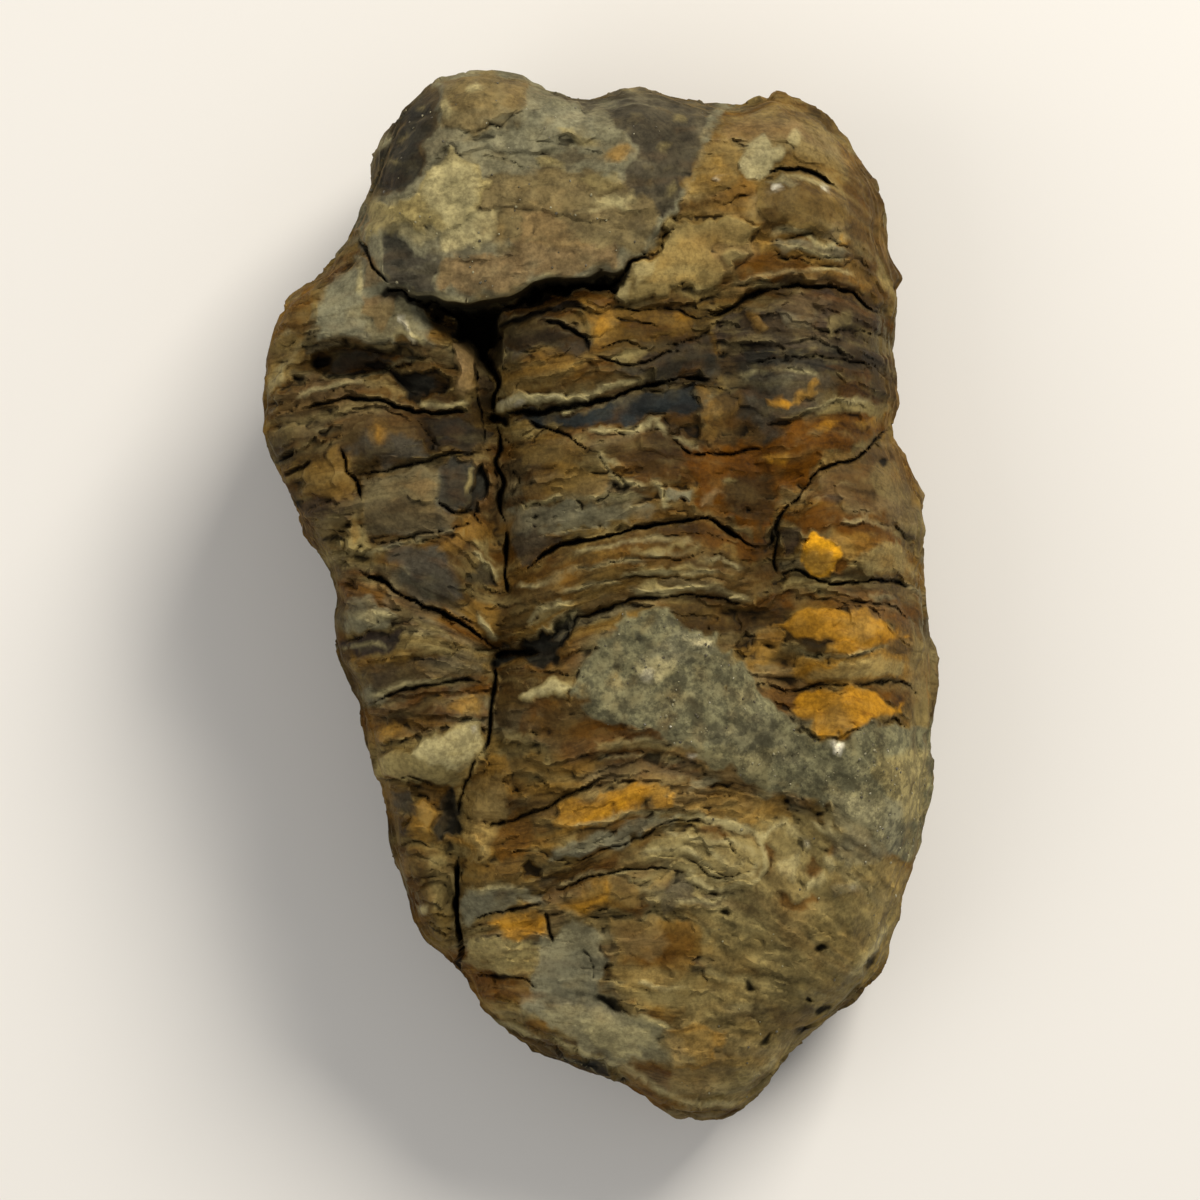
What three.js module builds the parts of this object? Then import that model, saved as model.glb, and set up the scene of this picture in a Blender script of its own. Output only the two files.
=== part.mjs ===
// Fossil trilobite: a calymenid, stretched out and turned to stone, with the matrix that fills its belly.
// It is one piece of rock, so it is one closed solid. Units are millimetres.
// +Y points to the head, +X to the animal's right, +Z up from the belly to the back.
// The origin is the middle of the footprint, on the surface that the fossil lies on.
//
// The skin is one grid of rows (across the animal) and columns (along it) stretched over the outline twice:
// a fine grid for the back and a grid with every second row and column for the belly. They share the rim.

import * as THREE from "three";

// ---------------------------------------------------------------- driving dimensions
const CREST_HEIGHT = 19.4; // top of the axial lobe at mid length
const COLUMNS = 40; // grid cells across, even
const ROWS = 92; // grid cells along, even
const LEFT_FURROW_COLUMN = 13; // these two columns run along the axial furrows
const RIGHT_FURROW_COLUMN = 29;
const RIM_CROWDING = 0.5; // how far the columns crowd towards the rim, 0 to 1
const END_CROWDING = 0.3; // the same for the rows
const BELLY_EDGE = 8; // width of the rounded edge between the rim and the flat of the belly
const SHOULDER_LEAN = 0.038; // the left flank is steeper than the right one, per mm from the middle
const RIM_LEAN = 0.19; // and its rim is higher, mm per mm
const BACK_SQUARENESS = 2.7; // 2 rounds the edge like a circle, more makes it boxier
const BELLY_SQUARENESS = 2.2;
const FURROW_DROP = 2.1; // how far the axial furrows lie under the crest
const AXIS_FLATNESS = 2.6; // power of the axial lobe's cross section
const PLEURA_RISE = 1.0; // how far a side lobe rises again outside its furrow
const PLEURA_RISE_WIDTH = 3.2; // over which width
const PLEURA_FALL = 0.02; // and how it falls towards the rim, mm per square mm
const FLAT_FALL = 0.04; // the same where the furrows have faded out
const FLAT_CROWN = 0.5; // and the crown of the back there
const LEFT_FURROW_LIMITS = [0.17, 0.45]; // the furrows stay between these shares of the width
const RIGHT_FURROW_LIMITS = [0.6, 0.83];
const LEFT_FADE_START = -27; // y where each furrow starts at the tail
const RIGHT_FADE_START = -21;
const TAIL_FADE_LENGTH = 12; // and over which length it gets its full depth
const HEAD_FADE_END = 23; // y where they end at the head
const HEAD_FADE_LENGTH = 6;
const PROFILE_STEP = 0.4; // 0 joins a profile's points by straight lines, 1 by smooth steps
const LUMP = 0.26; // height of the rock's uneven lumps
const LUMP_SIZE = 4.2; // their size
const RIM_LUMP = 0.5; // how far the rim wanders up and down
const RIM_LUMP_SIZE = 3;
const BELLY_UNEVENNESS = 0.25; // how far the width of the belly's edge varies
const BELLY_LUMP_SIZE = 6;
const RELIEF_FADE = 2.2; // the relief runs out over this width at the rim

// Outline seen from above, once round, clockwise from the rear left corner.
const REAR_LEFT = 0;
const FRONT_LEFT = 17;
const FRONT_RIGHT = 30;
const REAR_RIGHT = 46;
const outlinePoints = [
  [-8.0, -20.2], [-9.4, -18.9], [-10.4, -16.8], [-11.3, -14.2], [-11.7, -11.4], [-12.7, -7.9],
  [-13.4, -5.3], [-14.5, -2.6], [-14.6, 0.8], [-15.8, 3.2], [-17.3, 6.0], [-18.3, 8.8],
  [-18.6, 11.8], [-18.0, 14.6], [-16.9, 16.6], [-14.9, 18.2], [-13.1, 21.4], [-11.9, 25.1],
  [-10.5, 27.3], [-7.9, 29.0], [-4.5, 28.9], [-2.4, 28.1], [-0.2, 27.6], [1.6, 28.3],
  [4.4, 27.9], [7.9, 27.3], [9.4, 28.0], [10.9, 27.4], [12.1, 27.1], [12.9, 26.5],
  [13.7, 25.6], [15.6, 22.9], [16.1, 20.0], [16.8, 16.4], [16.4, 14.0], [16.8, 11.0],
  [16.4, 9.3], [17.5, 7.0], [18.1, 3.4], [18.1, 0.6], [18.6, -2.8], [18.6, -7.0],
  [18.4, -11.9], [17.4, -15.4], [16.7, -18.0], [15.5, -21.0], [13.4, -23.1], [11.0, -24.9],
  [9.0, -27.7], [7.1, -29.0], [4.5, -29.0], [1.9, -27.4], [-0.6, -26.5], [-3.1, -25.5],
  [-6.0, -23.2],
];

// Heights along the animal as [y, z], joined by smooth steps.
const crestProfile = [
  [-29, 9.4], [-26, 11.8], [-21, 14.2], [-14, 16.6], [-6, 18.5], [4, CREST_HEIGHT], [14, CREST_HEIGHT],
  [22, 18.6], [28.5, 16.6],
];
const rimProfile = [[-29, 5.6], [-20, 7.0], [-6, 7.4], [10, 7.8], [29, 9.6]];

// How far in from the rim the back rounds over.
const shoulderProfile = [[-29, 3.2], [-18, 3.9], [-4, 4.4], [18, 4.2], [28, 3.2]];

// Where the axial furrows run, as [y, x].
const leftFurrow = [[-21, -7.8], [-12, -8.0], [-8, -6.3], [-2, -5.5], [6, -5.4], [14, -6.0], [18, -6.4]];
const rightFurrow = [[-26, 11.0], [-8, 10.6], [2, 9.7], [8, 8.2], [13, 6.9], [18, 5.6]];

// Grooves across the back: the furrows between the segments and the main cracks.
// Each is a line of [x, y] with a depth and a half width.
const grooves = [
  {
    line: [[-5.8, 10.2], [-2, 10.7], [1.5, 11.3], [4.6, 12.0], [6.6, 12.1]],
    depth: 0.9,
    half: 0.7,
  },
  {
    line: [[-5.6, 9.2], [-1, 9.6], [3.6, 9.4], [5.6, 8.2], [9, 8.4], [12, 9.9], [16, 11.0]],
    depth: 0.6,
    half: 0.8,
  },
  {
    line: [[-4.7, 1.4], [-2, 2.9], [1.5, 4.0], [4.8, 4.3], [6.8, 3.9], [9, 2.8]],
    depth: 0.8,
    half: 0.65,
  },
  {
    line: [[-3.5, -1.9], [-0.5, -0.4], [2.0, 0.2], [5.5, 0.1], [8.4, -1.2]],
    depth: 0.8,
    half: 0.8,
  },
  {
    line: [[9.2, 2.7], [9.9, 4.9], [11.4, 6.7], [13.8, 7.9], [15.4, 9.2], [17, 9.3]],
    depth: 0.9,
    half: 0.65,
  },
  { line: [[9.6, 1.4], [12.5, 1.0], [15.5, 1.1], [18.2, 0.4]], depth: 0.9, half: 0.7 },
  { line: [[8.4, -4.6], [11.5, -4.5], [15, -4.6], [18, -5.8]], depth: 0.7, half: 0.85 },
  { line: [[10.2, -0.3], [13.5, -0.1], [16.4, -0.8], [18.2, -1.8]], depth: 0.45, half: 0.65 },
  {
    line: [[5.6, 15.8], [8, 16.8], [11.8, 17.2], [14.4, 16.4], [16.8, 15.9]],
    depth: 0.9,
    half: 0.85,
  },
  { line: [[0.6, 15.8], [3.5, 16.0], [6, 16.3]], depth: 0.6, half: 0.65 },
  { line: [[-4, 13.6], [-0.8, 14.2], [2, 13.2], [4.5, 14.0], [6, 14.6]], depth: 0.5, half: 0.6 },
  { line: [[8.5, 13.2], [11, 13.5], [13.8, 13.3], [16.4, 12.4]], depth: 0.5, half: 0.8 },
  { line: [[-16.4, 10.5], [-13.2, 11.1], [-10.2, 10.4], [-6.6, 10.3]], depth: 0.9, half: 0.8 },
  { line: [[-13, 6.9], [-10.4, 7.5], [-8, 8.0], [-6.2, 7.9]], depth: 0.6, half: 0.65 },
  { line: [[-14.2, 8.4], [-13.5, 6.9], [-13.1, 5.2], [-13.0, 3.4]], depth: 0.8, half: 0.65 },
  { line: [[-13, 3.4], [-10.8, 3.1], [-8, 3.8], [-6.6, 4.6]], depth: 0.5, half: 0.65 },
  { line: [[-13.2, 1.6], [-10.4, 0.3], [-8, -1.1], [-5.8, -2.4]], depth: 0.8, half: 0.65 },
  { line: [[-14.6, -3.0], [-12, -1.9], [-9.6, -1.6]], depth: 0.6, half: 0.8 },
  { line: [[-13.6, -6.1], [-10.6, -4.8], [-7.2, -4.4], [-5.8, -4.7]], depth: 0.8, half: 0.8 },
  { line: [[-12.7, -8.0], [-10.4, -7.2], [-8, -6.6], [-6.2, -6.4]], depth: 0.5, half: 0.65 },
  { line: [[-12.2, -10.4], [-10.4, -10.1], [-8.6, -10.4]], depth: 0.8, half: 0.8 },
  { line: [[-11.6, -13.8], [-10, -13.5], [-8.2, -14]], depth: 0.6, half: 0.65 },
  {
    line: [[-6.5, -12.3], [-4, -11.9], [-2.2, -10.3], [0.4, -8.5], [4, -8.2]],
    depth: 0.6,
    half: 0.7,
  },
  {
    line: [[-6.8, -17.5], [-4, -16.8], [-1.8, -15.8], [1.2, -14.9], [4.6, -14.9], [8, -16.2]],
    depth: 0.7,
    half: 0.7,
  },
  {
    line: [[-2, -14.8], [0.5, -13.6], [3.2, -12.6], [5.6, -12.0], [8, -12.9]],
    depth: 0.6,
    half: 0.65,
  },
  { line: [[-7, -20.8], [-4.4, -20.8], [-3.2, -21.6]], depth: 0.6, half: 0.65 },
  { line: [[-4.4, -24.9], [-1.4, -25.6], [1.2, -26.6], [3.4, -27.6]], depth: 1.0, half: 0.8 },
  { line: [[3.6, -26.9], [5.2, -27.3], [6.6, -26.9]], depth: 0.7, half: 0.65 },
  { line: [[9, 23.3], [10.1, 23.7], [11.6, 23.3], [13, 22.5]], depth: 1.0, half: 0.6 },
  { line: [[7.4, 21.5], [8.6, 22.2], [9.4, 22.9]], depth: 0.5, half: 0.65 },
  { line: [[8.8, 19.4], [10.8, 18.7], [13.4, 18.6], [15, 17.6]], depth: 0.5, half: 0.8 },
];

// The open crack along the left axial furrow, deepest under the head.
const axialCrack = [
  {
    line: [[-6.1, 14.4], [-5.9, 12.2], [-5.9, 9.8], [-5.4, 8.0], [-5.5, 5.4], [-5.2, 2.8], [-5.2, 0.4]],
    depth: 1.7,
    half: 0.65,
  },
  { line: [[-5.4, -2.7], [-4.2, -2.7], [-2.9, -3.1]], depth: 1.4, half: 0.65 },
  { line: [[-5.5, -2.8], [-5.7, -4.6], [-6.0, -7.4]], depth: 1.0, half: 0.6 },
  { line: [[-6.2, -7.6], [-7.2, -9.8], [-8.1, -11.6]], depth: 0.7, half: 0.6 },
  {
    line: [[-8.1, -11.6], [-8.1, -14.4], [-7.9, -17.2], [-7.8, -19.2], [-7.4, -21.2]],
    depth: 1.5,
    half: 0.6,
  },
];

// Raised and sunken fields, as closed outlines with a height and the width of their edge.
const headSlab = {
  outline: [
    [-13.0, 19.4], [-12.0, 17.2], [-10.2, 16.7], [-6.6, 16.3], [-4.8, 16.4], [-3.4, 17.3], [-1.8, 17.7],
    [0.6, 17.9], [2.0, 18.8], [3.4, 20.0], [5.4, 21.8], [8.4, 24.4], [9.0, 30], [-9, 30], [-14, 24],
  ],
  height: 1.5,
  edge: 1.0,
  thins: [1.5, 7.5],
};
const headGap = {
  outline: [
    [-9.8, 16.0], [-6.6, 16.3], [-4.8, 16.3], [-3.4, 17.2], [-1.8, 17.6], [0.6, 17.8], [1.6, 18.4],
    [0.6, 17.0], [-2.2, 16.5], [-4.6, 15.5], [-5.7, 14.8], [-5.8, 12.8], [-6.6, 13.4], [-8.0, 14.4],
  ],
  height: -3.4,
  edge: 1.0,
};
const matrixPatch = {
  outline: [
    [-1.8, -5.2], [-0.2, -2.9], [1.6, -0.9], [3.6, -0.6], [6.4, -2.2], [8.4, -3.8], [10.4, -6.6],
    [13.4, -7.3], [18.8, -7.0], [18.8, -13.8], [16.4, -14.4], [13.4, -12.8], [10.2, -11.0], [7.4, -9.6],
    [3.4, -7.2], [0.8, -6.6],
  ],
  height: 0.55,
  edge: 0.8,
};

// Lumps and hollows: an oval with half sizes [a, b], turned by `turn` degrees, and a height.
const lumps = [
  { at: [10.8, 21.6], half: [4.6, 2.6], turn: -15, height: 0.8 }, // swelling of the right cheek
  { at: [5.0, 18.6], half: [3.6, 1.7], turn: 22, height: 0.55 }, // pale boss beside the slab
  { at: [-7.4, 27.0], half: [3.4, 1.9], turn: 0, height: 0.5 },
  { at: [-15.4, 15.0], half: [3.2, 2.2], turn: 45, height: 0.7 }, // left cheek
  { at: [-13.2, 12.9], half: [4.0, 0.8], turn: 4, height: -1.5 }, // hollow under it
  { at: [-10.0, 11.7], half: [2.2, 0.8], turn: -12, height: -1.2 },
  { at: [-15.4, 6.4], half: [2.2, 2.2], turn: 0, height: 0.5 },
  { at: [13.4, 3.2], half: [3.8, 2.0], turn: -6, height: 0.6 }, // right ribs
  { at: [13.8, -2.2], half: [4.2, 2.1], turn: -8, height: 0.65 },
  { at: [13.4, -6.0], half: [3.8, 1.2], turn: -6, height: 0.4 },
  { at: [-9.6, -3.2], half: [4.2, 1.6], turn: 16, height: 0.5 }, // left ribs
  { at: [-9.2, -8.4], half: [3.2, 1.6], turn: 8, height: 0.6 },
  { at: [-10.0, -12.2], half: [2.0, 1.2], turn: 0, height: 0.4 },
  { at: [4.6, 2.2], half: [5.2, 1.5], turn: -4, height: 0.45 }, // axial rings
  { at: [1.4, 6.6], half: [6.4, 1.9], turn: 4, height: 0.4 },
  { at: [-1.6, 12.4], half: [4.2, 1.3], turn: 6, height: 0.35 },
  { at: [8.0, -2.8], half: [0.9, 0.7], turn: 30, height: -1.0 }, // pits
  { at: [0.7, -22.2], half: [1.1, 0.55], turn: -25, height: -1.0 },
  { at: [8.1, -21.1], half: [0.7, 0.5], turn: -20, height: -0.8 },
  { at: [12.1, -19.2], half: [1.0, 0.6], turn: 10, height: -0.6 },
  { at: [-3.6, -14.8], half: [0.8, 0.6], turn: 0, height: -0.7 },
  { at: [11.6, -24.1], half: [0.9, 0.5], turn: 10, height: -0.7 },
  { at: [6.9, 13.3], half: [0.8, 0.5], turn: -20, height: -0.7 },
];

// ---------------------------------------------------------------- helpers
const clamp = (v, low, high) => Math.min(high, Math.max(low, v));
const mix = (a, b, t) => a + (b - a) * t;
const smooth = (t) => {
  const c = clamp(t, 0, 1);
  return c * c * (3 - 2 * c);
};

/** Value at `at` of a table of [place, value] pairs, with smooth steps between them. */
function profile(table, at) {
  if (at <= table[0][0]) return table[0][1];
  for (let i = 1; i < table.length; i += 1) {
    const [from, before] = table[i - 1];
    const [to, after] = table[i];
    const share = (at - from) / (to - from);
    if (at <= to) return mix(before, after, mix(share, smooth(share), PROFILE_STEP));
  }
  return table[table.length - 1][1];
}

/** Distance from (x, y) to the stretch a-b. */
function distanceToStretch(x, y, a, b) {
  const [dx, dy] = [b[0] - a[0], b[1] - a[1]];
  const along = clamp(((x - a[0]) * dx + (y - a[1]) * dy) / (dx * dx + dy * dy), 0, 1);
  return Math.hypot(x - a[0] - along * dx, y - a[1] - along * dy);
}

function distanceToLine(x, y, line) {
  let nearest = Infinity;
  for (let i = 1; i < line.length; i += 1) {
    nearest = Math.min(nearest, distanceToStretch(x, y, line[i - 1], line[i]));
  }
  return nearest;
}

/** Distance to a closed outline, positive inside it. */
function depthInside(x, y, outline) {
  let inside = false;
  let nearest = Infinity;
  for (let i = 0, j = outline.length - 1; i < outline.length; j = i, i += 1) {
    const [a, b] = [outline[j], outline[i]];
    nearest = Math.min(nearest, distanceToStretch(x, y, a, b));
    if (a[1] > y !== b[1] > y && x < ((b[0] - a[0]) * (y - a[1])) / (b[1] - a[1]) + a[0]) inside = !inside;
  }
  return inside ? nearest : -nearest;
}

/** Repeatable value from -1 to 1 for a lattice point. */
function latticeValue(i, j, k) {
  const n = Math.sin(i * 127.1 + j * 311.7 + k * 74.7) * 43758.5453;
  return 2 * (n - Math.floor(n)) - 1;
}

/** Smooth noise from -1 to 1 with features about 1 unit wide. */
function noise(x, y, layer) {
  const [i, j] = [Math.floor(x), Math.floor(y)];
  const [s, t] = [smooth(x - i), smooth(y - j)];
  const low = mix(latticeValue(i, j, layer), latticeValue(i + 1, j, layer), s);
  const high = mix(latticeValue(i, j + 1, layer), latticeValue(i + 1, j + 1, layer), s);
  return mix(low, high, t);
}

// ---------------------------------------------------------------- outline and plan grid
const outlineCurve = new THREE.CatmullRomCurve3(
  outlinePoints.map(([x, y]) => new THREE.Vector3(x, y, 0)),
  true,
  "centripetal",
);
const STEPS_PER_POINT = 12;
const outlineLoop = outlineCurve
  .getPoints(outlinePoints.length * STEPS_PER_POINT)
  .slice(0, -1)
  .map((point) => [point.x, point.y]);

/** The stretch of the outline between two of its points, as a function of the share of its length. */
function edgeBetween(first, last, backwards) {
  const count = outlineLoop.length;
  const length = ((last - first + outlinePoints.length) % outlinePoints.length) * STEPS_PER_POINT;
  const stretch = [];
  for (let i = 0; i <= length; i += 1) stretch.push(outlineLoop[(first * STEPS_PER_POINT + i) % count]);
  if (backwards) stretch.reverse();
  const reach = [0];
  for (let i = 1; i < stretch.length; i += 1) {
    const [from, to] = [stretch[i - 1], stretch[i]];
    reach.push(reach[i - 1] + Math.hypot(to[0] - from[0], to[1] - from[1]));
  }
  const total = reach[reach.length - 1];
  return (share) => {
    const wanted = clamp(share, 0, 1) * total;
    let i = 1;
    while (i < reach.length - 1 && reach[i] < wanted) i += 1;
    const t = clamp((wanted - reach[i - 1]) / (reach[i] - reach[i - 1]), 0, 1);
    return [mix(stretch[i - 1][0], stretch[i][0], t), mix(stretch[i - 1][1], stretch[i][1], t)];
  };
}

const leftEdge = edgeBetween(REAR_LEFT, FRONT_LEFT, false); // rear to front
const frontEdge = edgeBetween(FRONT_LEFT, FRONT_RIGHT, false); // left to right
const rightEdge = edgeBetween(FRONT_RIGHT, REAR_RIGHT, true); // rear to front
const rearEdge = edgeBetween(REAR_RIGHT, REAR_LEFT, true); // left to right

/** Point of a patch stretched between the four edges, u across and v along. */
function patchPoint(u, v) {
  const [left, right, rear, front] = [leftEdge(v), rightEdge(v), rearEdge(u), frontEdge(u)];
  const corners = [rearEdge(0), rearEdge(1), frontEdge(0), frontEdge(1)];
  return [0, 1].map(
    (k) =>
      mix(left[k], right[k], u) + mix(rear[k], front[k], v) -
      mix(mix(corners[0][k], corners[1][k], u), mix(corners[2][k], corners[3][k], u), v),
  );
}

/** The u at which the patch crosses a furrow at that v, kept between two limits. */
function furrowShare(furrow, v, low, high) {
  let [a, b] = [low, high];
  for (let i = 0; i < 20; i += 1) {
    const u = (a + b) / 2;
    const [x, y] = patchPoint(u, v);
    if (x < profile(furrow, y)) a = u;
    else b = u;
  }
  return (a + b) / 2;
}

/** From 0 to 1, crowded towards 0. */
const crowdStart = (t) => mix(t, 1 - Math.cos((Math.PI * t) / 2), RIM_CROWDING);
const crowdBothEnds = (t, amount) => mix(t, 0.5 - 0.5 * Math.cos(Math.PI * t), amount);

/** How far across each column of a row lies: pleura, axis, pleura. */
function columnShares(v) {
  const left = furrowShare(leftFurrow, v, ...LEFT_FURROW_LIMITS);
  const right = furrowShare(rightFurrow, v, ...RIGHT_FURROW_LIMITS);
  const axisColumns = RIGHT_FURROW_COLUMN - LEFT_FURROW_COLUMN;
  const shares = [];
  for (let column = 0; column <= COLUMNS; column += 1) {
    if (column <= LEFT_FURROW_COLUMN) shares.push(left * crowdStart(column / LEFT_FURROW_COLUMN));
    else if (column >= RIGHT_FURROW_COLUMN) {
      shares.push(1 - (1 - right) * crowdStart((COLUMNS - column) / (COLUMNS - RIGHT_FURROW_COLUMN)));
    } else shares.push(mix(left, right, (column - LEFT_FURROW_COLUMN) / axisColumns));
  }
  return shares;
}

// ---------------------------------------------------------------- heights
/** Height of the rim, where back and belly meet. */
const rimHeight = (x, y) =>
  profile(rimProfile, y) - RIM_LEAN * x + RIM_LUMP * noise(x / RIM_LUMP_SIZE, y / RIM_LUMP_SIZE, 5);

/** A rounded edge: 0 at the rim, 1 at `width` inside it. */
const roundedEdge = (depth, width, squareness) => {
  const t = 1 - clamp(depth / width, 0, 1);
  return (1 - t ** squareness) ** (1 / squareness);
};

/** 1 inside a field, 0 outside, smooth over its edge. A field with `thins` runs out between those two x. */
function fieldShare(x, y, { outline, edge, thins }) {
  const inside = smooth(depthInside(x, y, outline) / edge + 0.5);
  return thins ? inside * (1 - smooth((x - thins[0]) / (thins[1] - thins[0]))) : inside;
}

/** The three lobes: axis between its furrows, and a pleural lobe each side. */
function lobes(x, y) {
  const left = profile(leftFurrow, y);
  const right = profile(rightFurrow, y);
  const middle = (left + right) / 2;
  const half = (right - left) / 2;
  const start = x < middle ? LEFT_FADE_START : RIGHT_FADE_START;
  const rear = smooth((y - start) / TAIL_FADE_LENGTH);
  const front = smooth((HEAD_FADE_END - y) / HEAD_FADE_LENGTH);
  const fade = rear * front * (1 - fieldShare(x, y, headSlab));
  const across = (x - middle) / half;
  if (Math.abs(across) <= 1) {
    return -FURROW_DROP * fade * Math.abs(across) ** AXIS_FLATNESS - FLAT_CROWN * (1 - fade) * across ** 2;
  }
  const out = x < left ? left - x : x - right; // mm outside the furrow
  const rise = PLEURA_RISE * smooth(out / PLEURA_RISE_WIDTH);
  const fall = PLEURA_FALL * out * out;
  return mix(-FLAT_CROWN - FLAT_FALL * out * out, -FURROW_DROP + rise - fall, fade);
}

const grooveCut = (x, y, { line, depth, half }) =>
  -depth * Math.exp(-((distanceToLine(x, y, line) / half) ** 2));

function lumpHeight(x, y, { at, half, turn, height }) {
  const angle = THREE.MathUtils.degToRad(turn);
  const [dx, dy] = [x - at[0], y - at[1]];
  const along = (dx * Math.cos(angle) + dy * Math.sin(angle)) / half[0];
  const over = (dy * Math.cos(angle) - dx * Math.sin(angle)) / half[1];
  return height * Math.exp(-((along * along + over * over) ** 1.3));
}

/** How far the relief stands from the smooth back, at one point. */
function reliefAt(x, y) {
  let height = 0;
  for (const groove of [...grooves, ...axialCrack]) height += grooveCut(x, y, groove);
  for (const field of [headSlab, headGap, matrixPatch]) height += field.height * fieldShare(x, y, field);
  for (const lump of lumps) height += lumpHeight(x, y, lump);
  height += LUMP * noise(x / LUMP_SIZE, y / LUMP_SIZE, 1);
  height += 0.5 * LUMP * noise((2 * x) / LUMP_SIZE, (2 * y) / LUMP_SIZE, 2);
  return height;
}

/** The relief averaged over about one grid cell, so that slanting grooves come out even. */
function relief(x, y) {
  const reach = 0.4;
  let sum = 2 * reliefAt(x, y);
  for (const [dx, dy] of [[reach, 0], [-reach, 0], [0, reach], [0, -reach]]) {
    sum += reliefAt(x + dx, y + dy);
  }
  return sum / 6;
}

function backHeight(x, y) {
  const depth = Math.max(0, depthInside(x, y, outlineLoop));
  const width = profile(shoulderProfile, y) * (1 + SHOULDER_LEAN * x);
  const rim = rimHeight(x, y);
  const top = profile(crestProfile, y) + lobes(x, y);
  const edge = roundedEdge(depth, width, BACK_SQUARENESS);
  return mix(rim, top, edge) + relief(x, y) * smooth(depth / RELIEF_FADE);
}

/** The belly: flat in the middle, with an uneven rounded edge up to the rim. */
function bellyHeight(x, y) {
  const depth = Math.max(0, depthInside(x, y, outlineLoop));
  const width = BELLY_EDGE * (1 + BELLY_UNEVENNESS * noise(x / BELLY_LUMP_SIZE, y / BELLY_LUMP_SIZE, 7));
  return rimHeight(x, y) * (1 - roundedEdge(depth, width, BELLY_SQUARENESS));
}

// ---------------------------------------------------------------- the solid
function trilobiteGeometry() {
  const positions = [];
  const triangles = [];
  const addPoint = (x, y, z) => positions.push(x, y, z) / 3 - 1;
  const onRim = (column, row) => column === 0 || column === COLUMNS || row === 0 || row === ROWS;

  const back = new Map();
  const belly = new Map();
  const key = (column, row) => row * (COLUMNS + 1) + column;
  for (let row = 0; row <= ROWS; row += 1) {
    const v = crowdBothEnds(row / ROWS, END_CROWDING);
    const shares = columnShares(v);
    for (let column = 0; column <= COLUMNS; column += 1) {
      const [x, y] = patchPoint(shares[column], v);
      const rim = onRim(column, row);
      const top = addPoint(x, y, rim ? rimHeight(x, y) : backHeight(x, y));
      back.set(key(column, row), top);
      if (rim) belly.set(key(column, row), top);
      else if (column % 2 === 0 && row % 2 === 0) {
        belly.set(key(column, row), addPoint(x, y, bellyHeight(x, y)));
      }
    }
  }

  // Each cell of the back is folded along the diagonal that comes closer to the true height at its middle.
  const middleOf = (i, j) => [0, 1, 2].map((k) => (positions[3 * i + k] + positions[3 * j + k]) / 2);
  const misses = ([x, y, z]) => Math.abs(z - backHeight(x, y));
  for (let row = 0; row < ROWS; row += 1) {
    for (let column = 0; column < COLUMNS; column += 1) {
      const [a, b] = [back.get(key(column, row)), back.get(key(column + 1, row))];
      const [c, d] = [back.get(key(column + 1, row + 1)), back.get(key(column, row + 1))];
      if (misses(middleOf(a, c)) < misses(middleOf(b, d))) triangles.push(a, b, c, a, c, d);
      else triangles.push(a, b, d, b, c, d);
    }
  }

  // A belly cell is two grid cells wide and long. On the rim it also takes the rim's points between its
  // corners, and it is cut into a fan from a corner that is off the rim.
  for (let row = 0; row < ROWS; row += 2) {
    for (let column = 0; column < COLUMNS; column += 2) {
      const ring = [
        [column, row], [column + 1, row], [column + 2, row], [column + 2, row + 1],
        [column + 2, row + 2], [column + 1, row + 2], [column, row + 2], [column, row + 1],
      ].filter(([c, r]) => belly.has(key(c, r)));
      const apex = ring.findIndex(([c, r]) => !onRim(c, r));
      const fan = [...ring.slice(apex), ...ring.slice(0, apex)].map(([c, r]) => belly.get(key(c, r)));
      for (let i = 2; i < fan.length; i += 1) triangles.push(fan[0], fan[i], fan[i - 1]);
    }
  }

  const geometry = new THREE.BufferGeometry();
  geometry.setAttribute("position", new THREE.Float32BufferAttribute(positions, 3));
  geometry.setIndex(triangles);
  geometry.computeBoundingBox();
  const { min, max } = geometry.boundingBox;
  geometry.translate(-(min.x + max.x) / 2, -(min.y + max.y) / 2, -min.z);
  geometry.computeVertexNormals();
  return geometry;
}

const stone = new THREE.MeshStandardMaterial({ color: 0x5f4e2e, roughness: 0.7, metalness: 0 });
const trilobite = new THREE.Mesh(trilobiteGeometry(), stone);
trilobite.name = "trilobite";

const fossil = new THREE.Group();
fossil.add(trilobite);

export default fossil;
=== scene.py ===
# %% [markdown]
# # A fossil trilobite that lies on its belly
# The back is three lobes long: an axis and a rib field each side. The rock has split along its beds, so
# flakes, ledges and open cracks run across it. The solid has the big forms. This lesson makes a copy of it
# fine, carves it with arrays of heights, and stains it.

import math
import time

import bmesh
import bpy
import numpy as np
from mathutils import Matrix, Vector


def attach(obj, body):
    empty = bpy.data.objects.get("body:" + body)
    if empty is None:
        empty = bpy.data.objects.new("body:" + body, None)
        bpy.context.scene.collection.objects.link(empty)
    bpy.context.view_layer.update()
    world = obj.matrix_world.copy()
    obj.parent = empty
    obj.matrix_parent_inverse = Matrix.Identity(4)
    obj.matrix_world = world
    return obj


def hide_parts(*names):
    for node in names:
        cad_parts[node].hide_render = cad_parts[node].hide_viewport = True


started = time.time()


def clock():
    return f"{time.time() - started:.0f} s"


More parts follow.
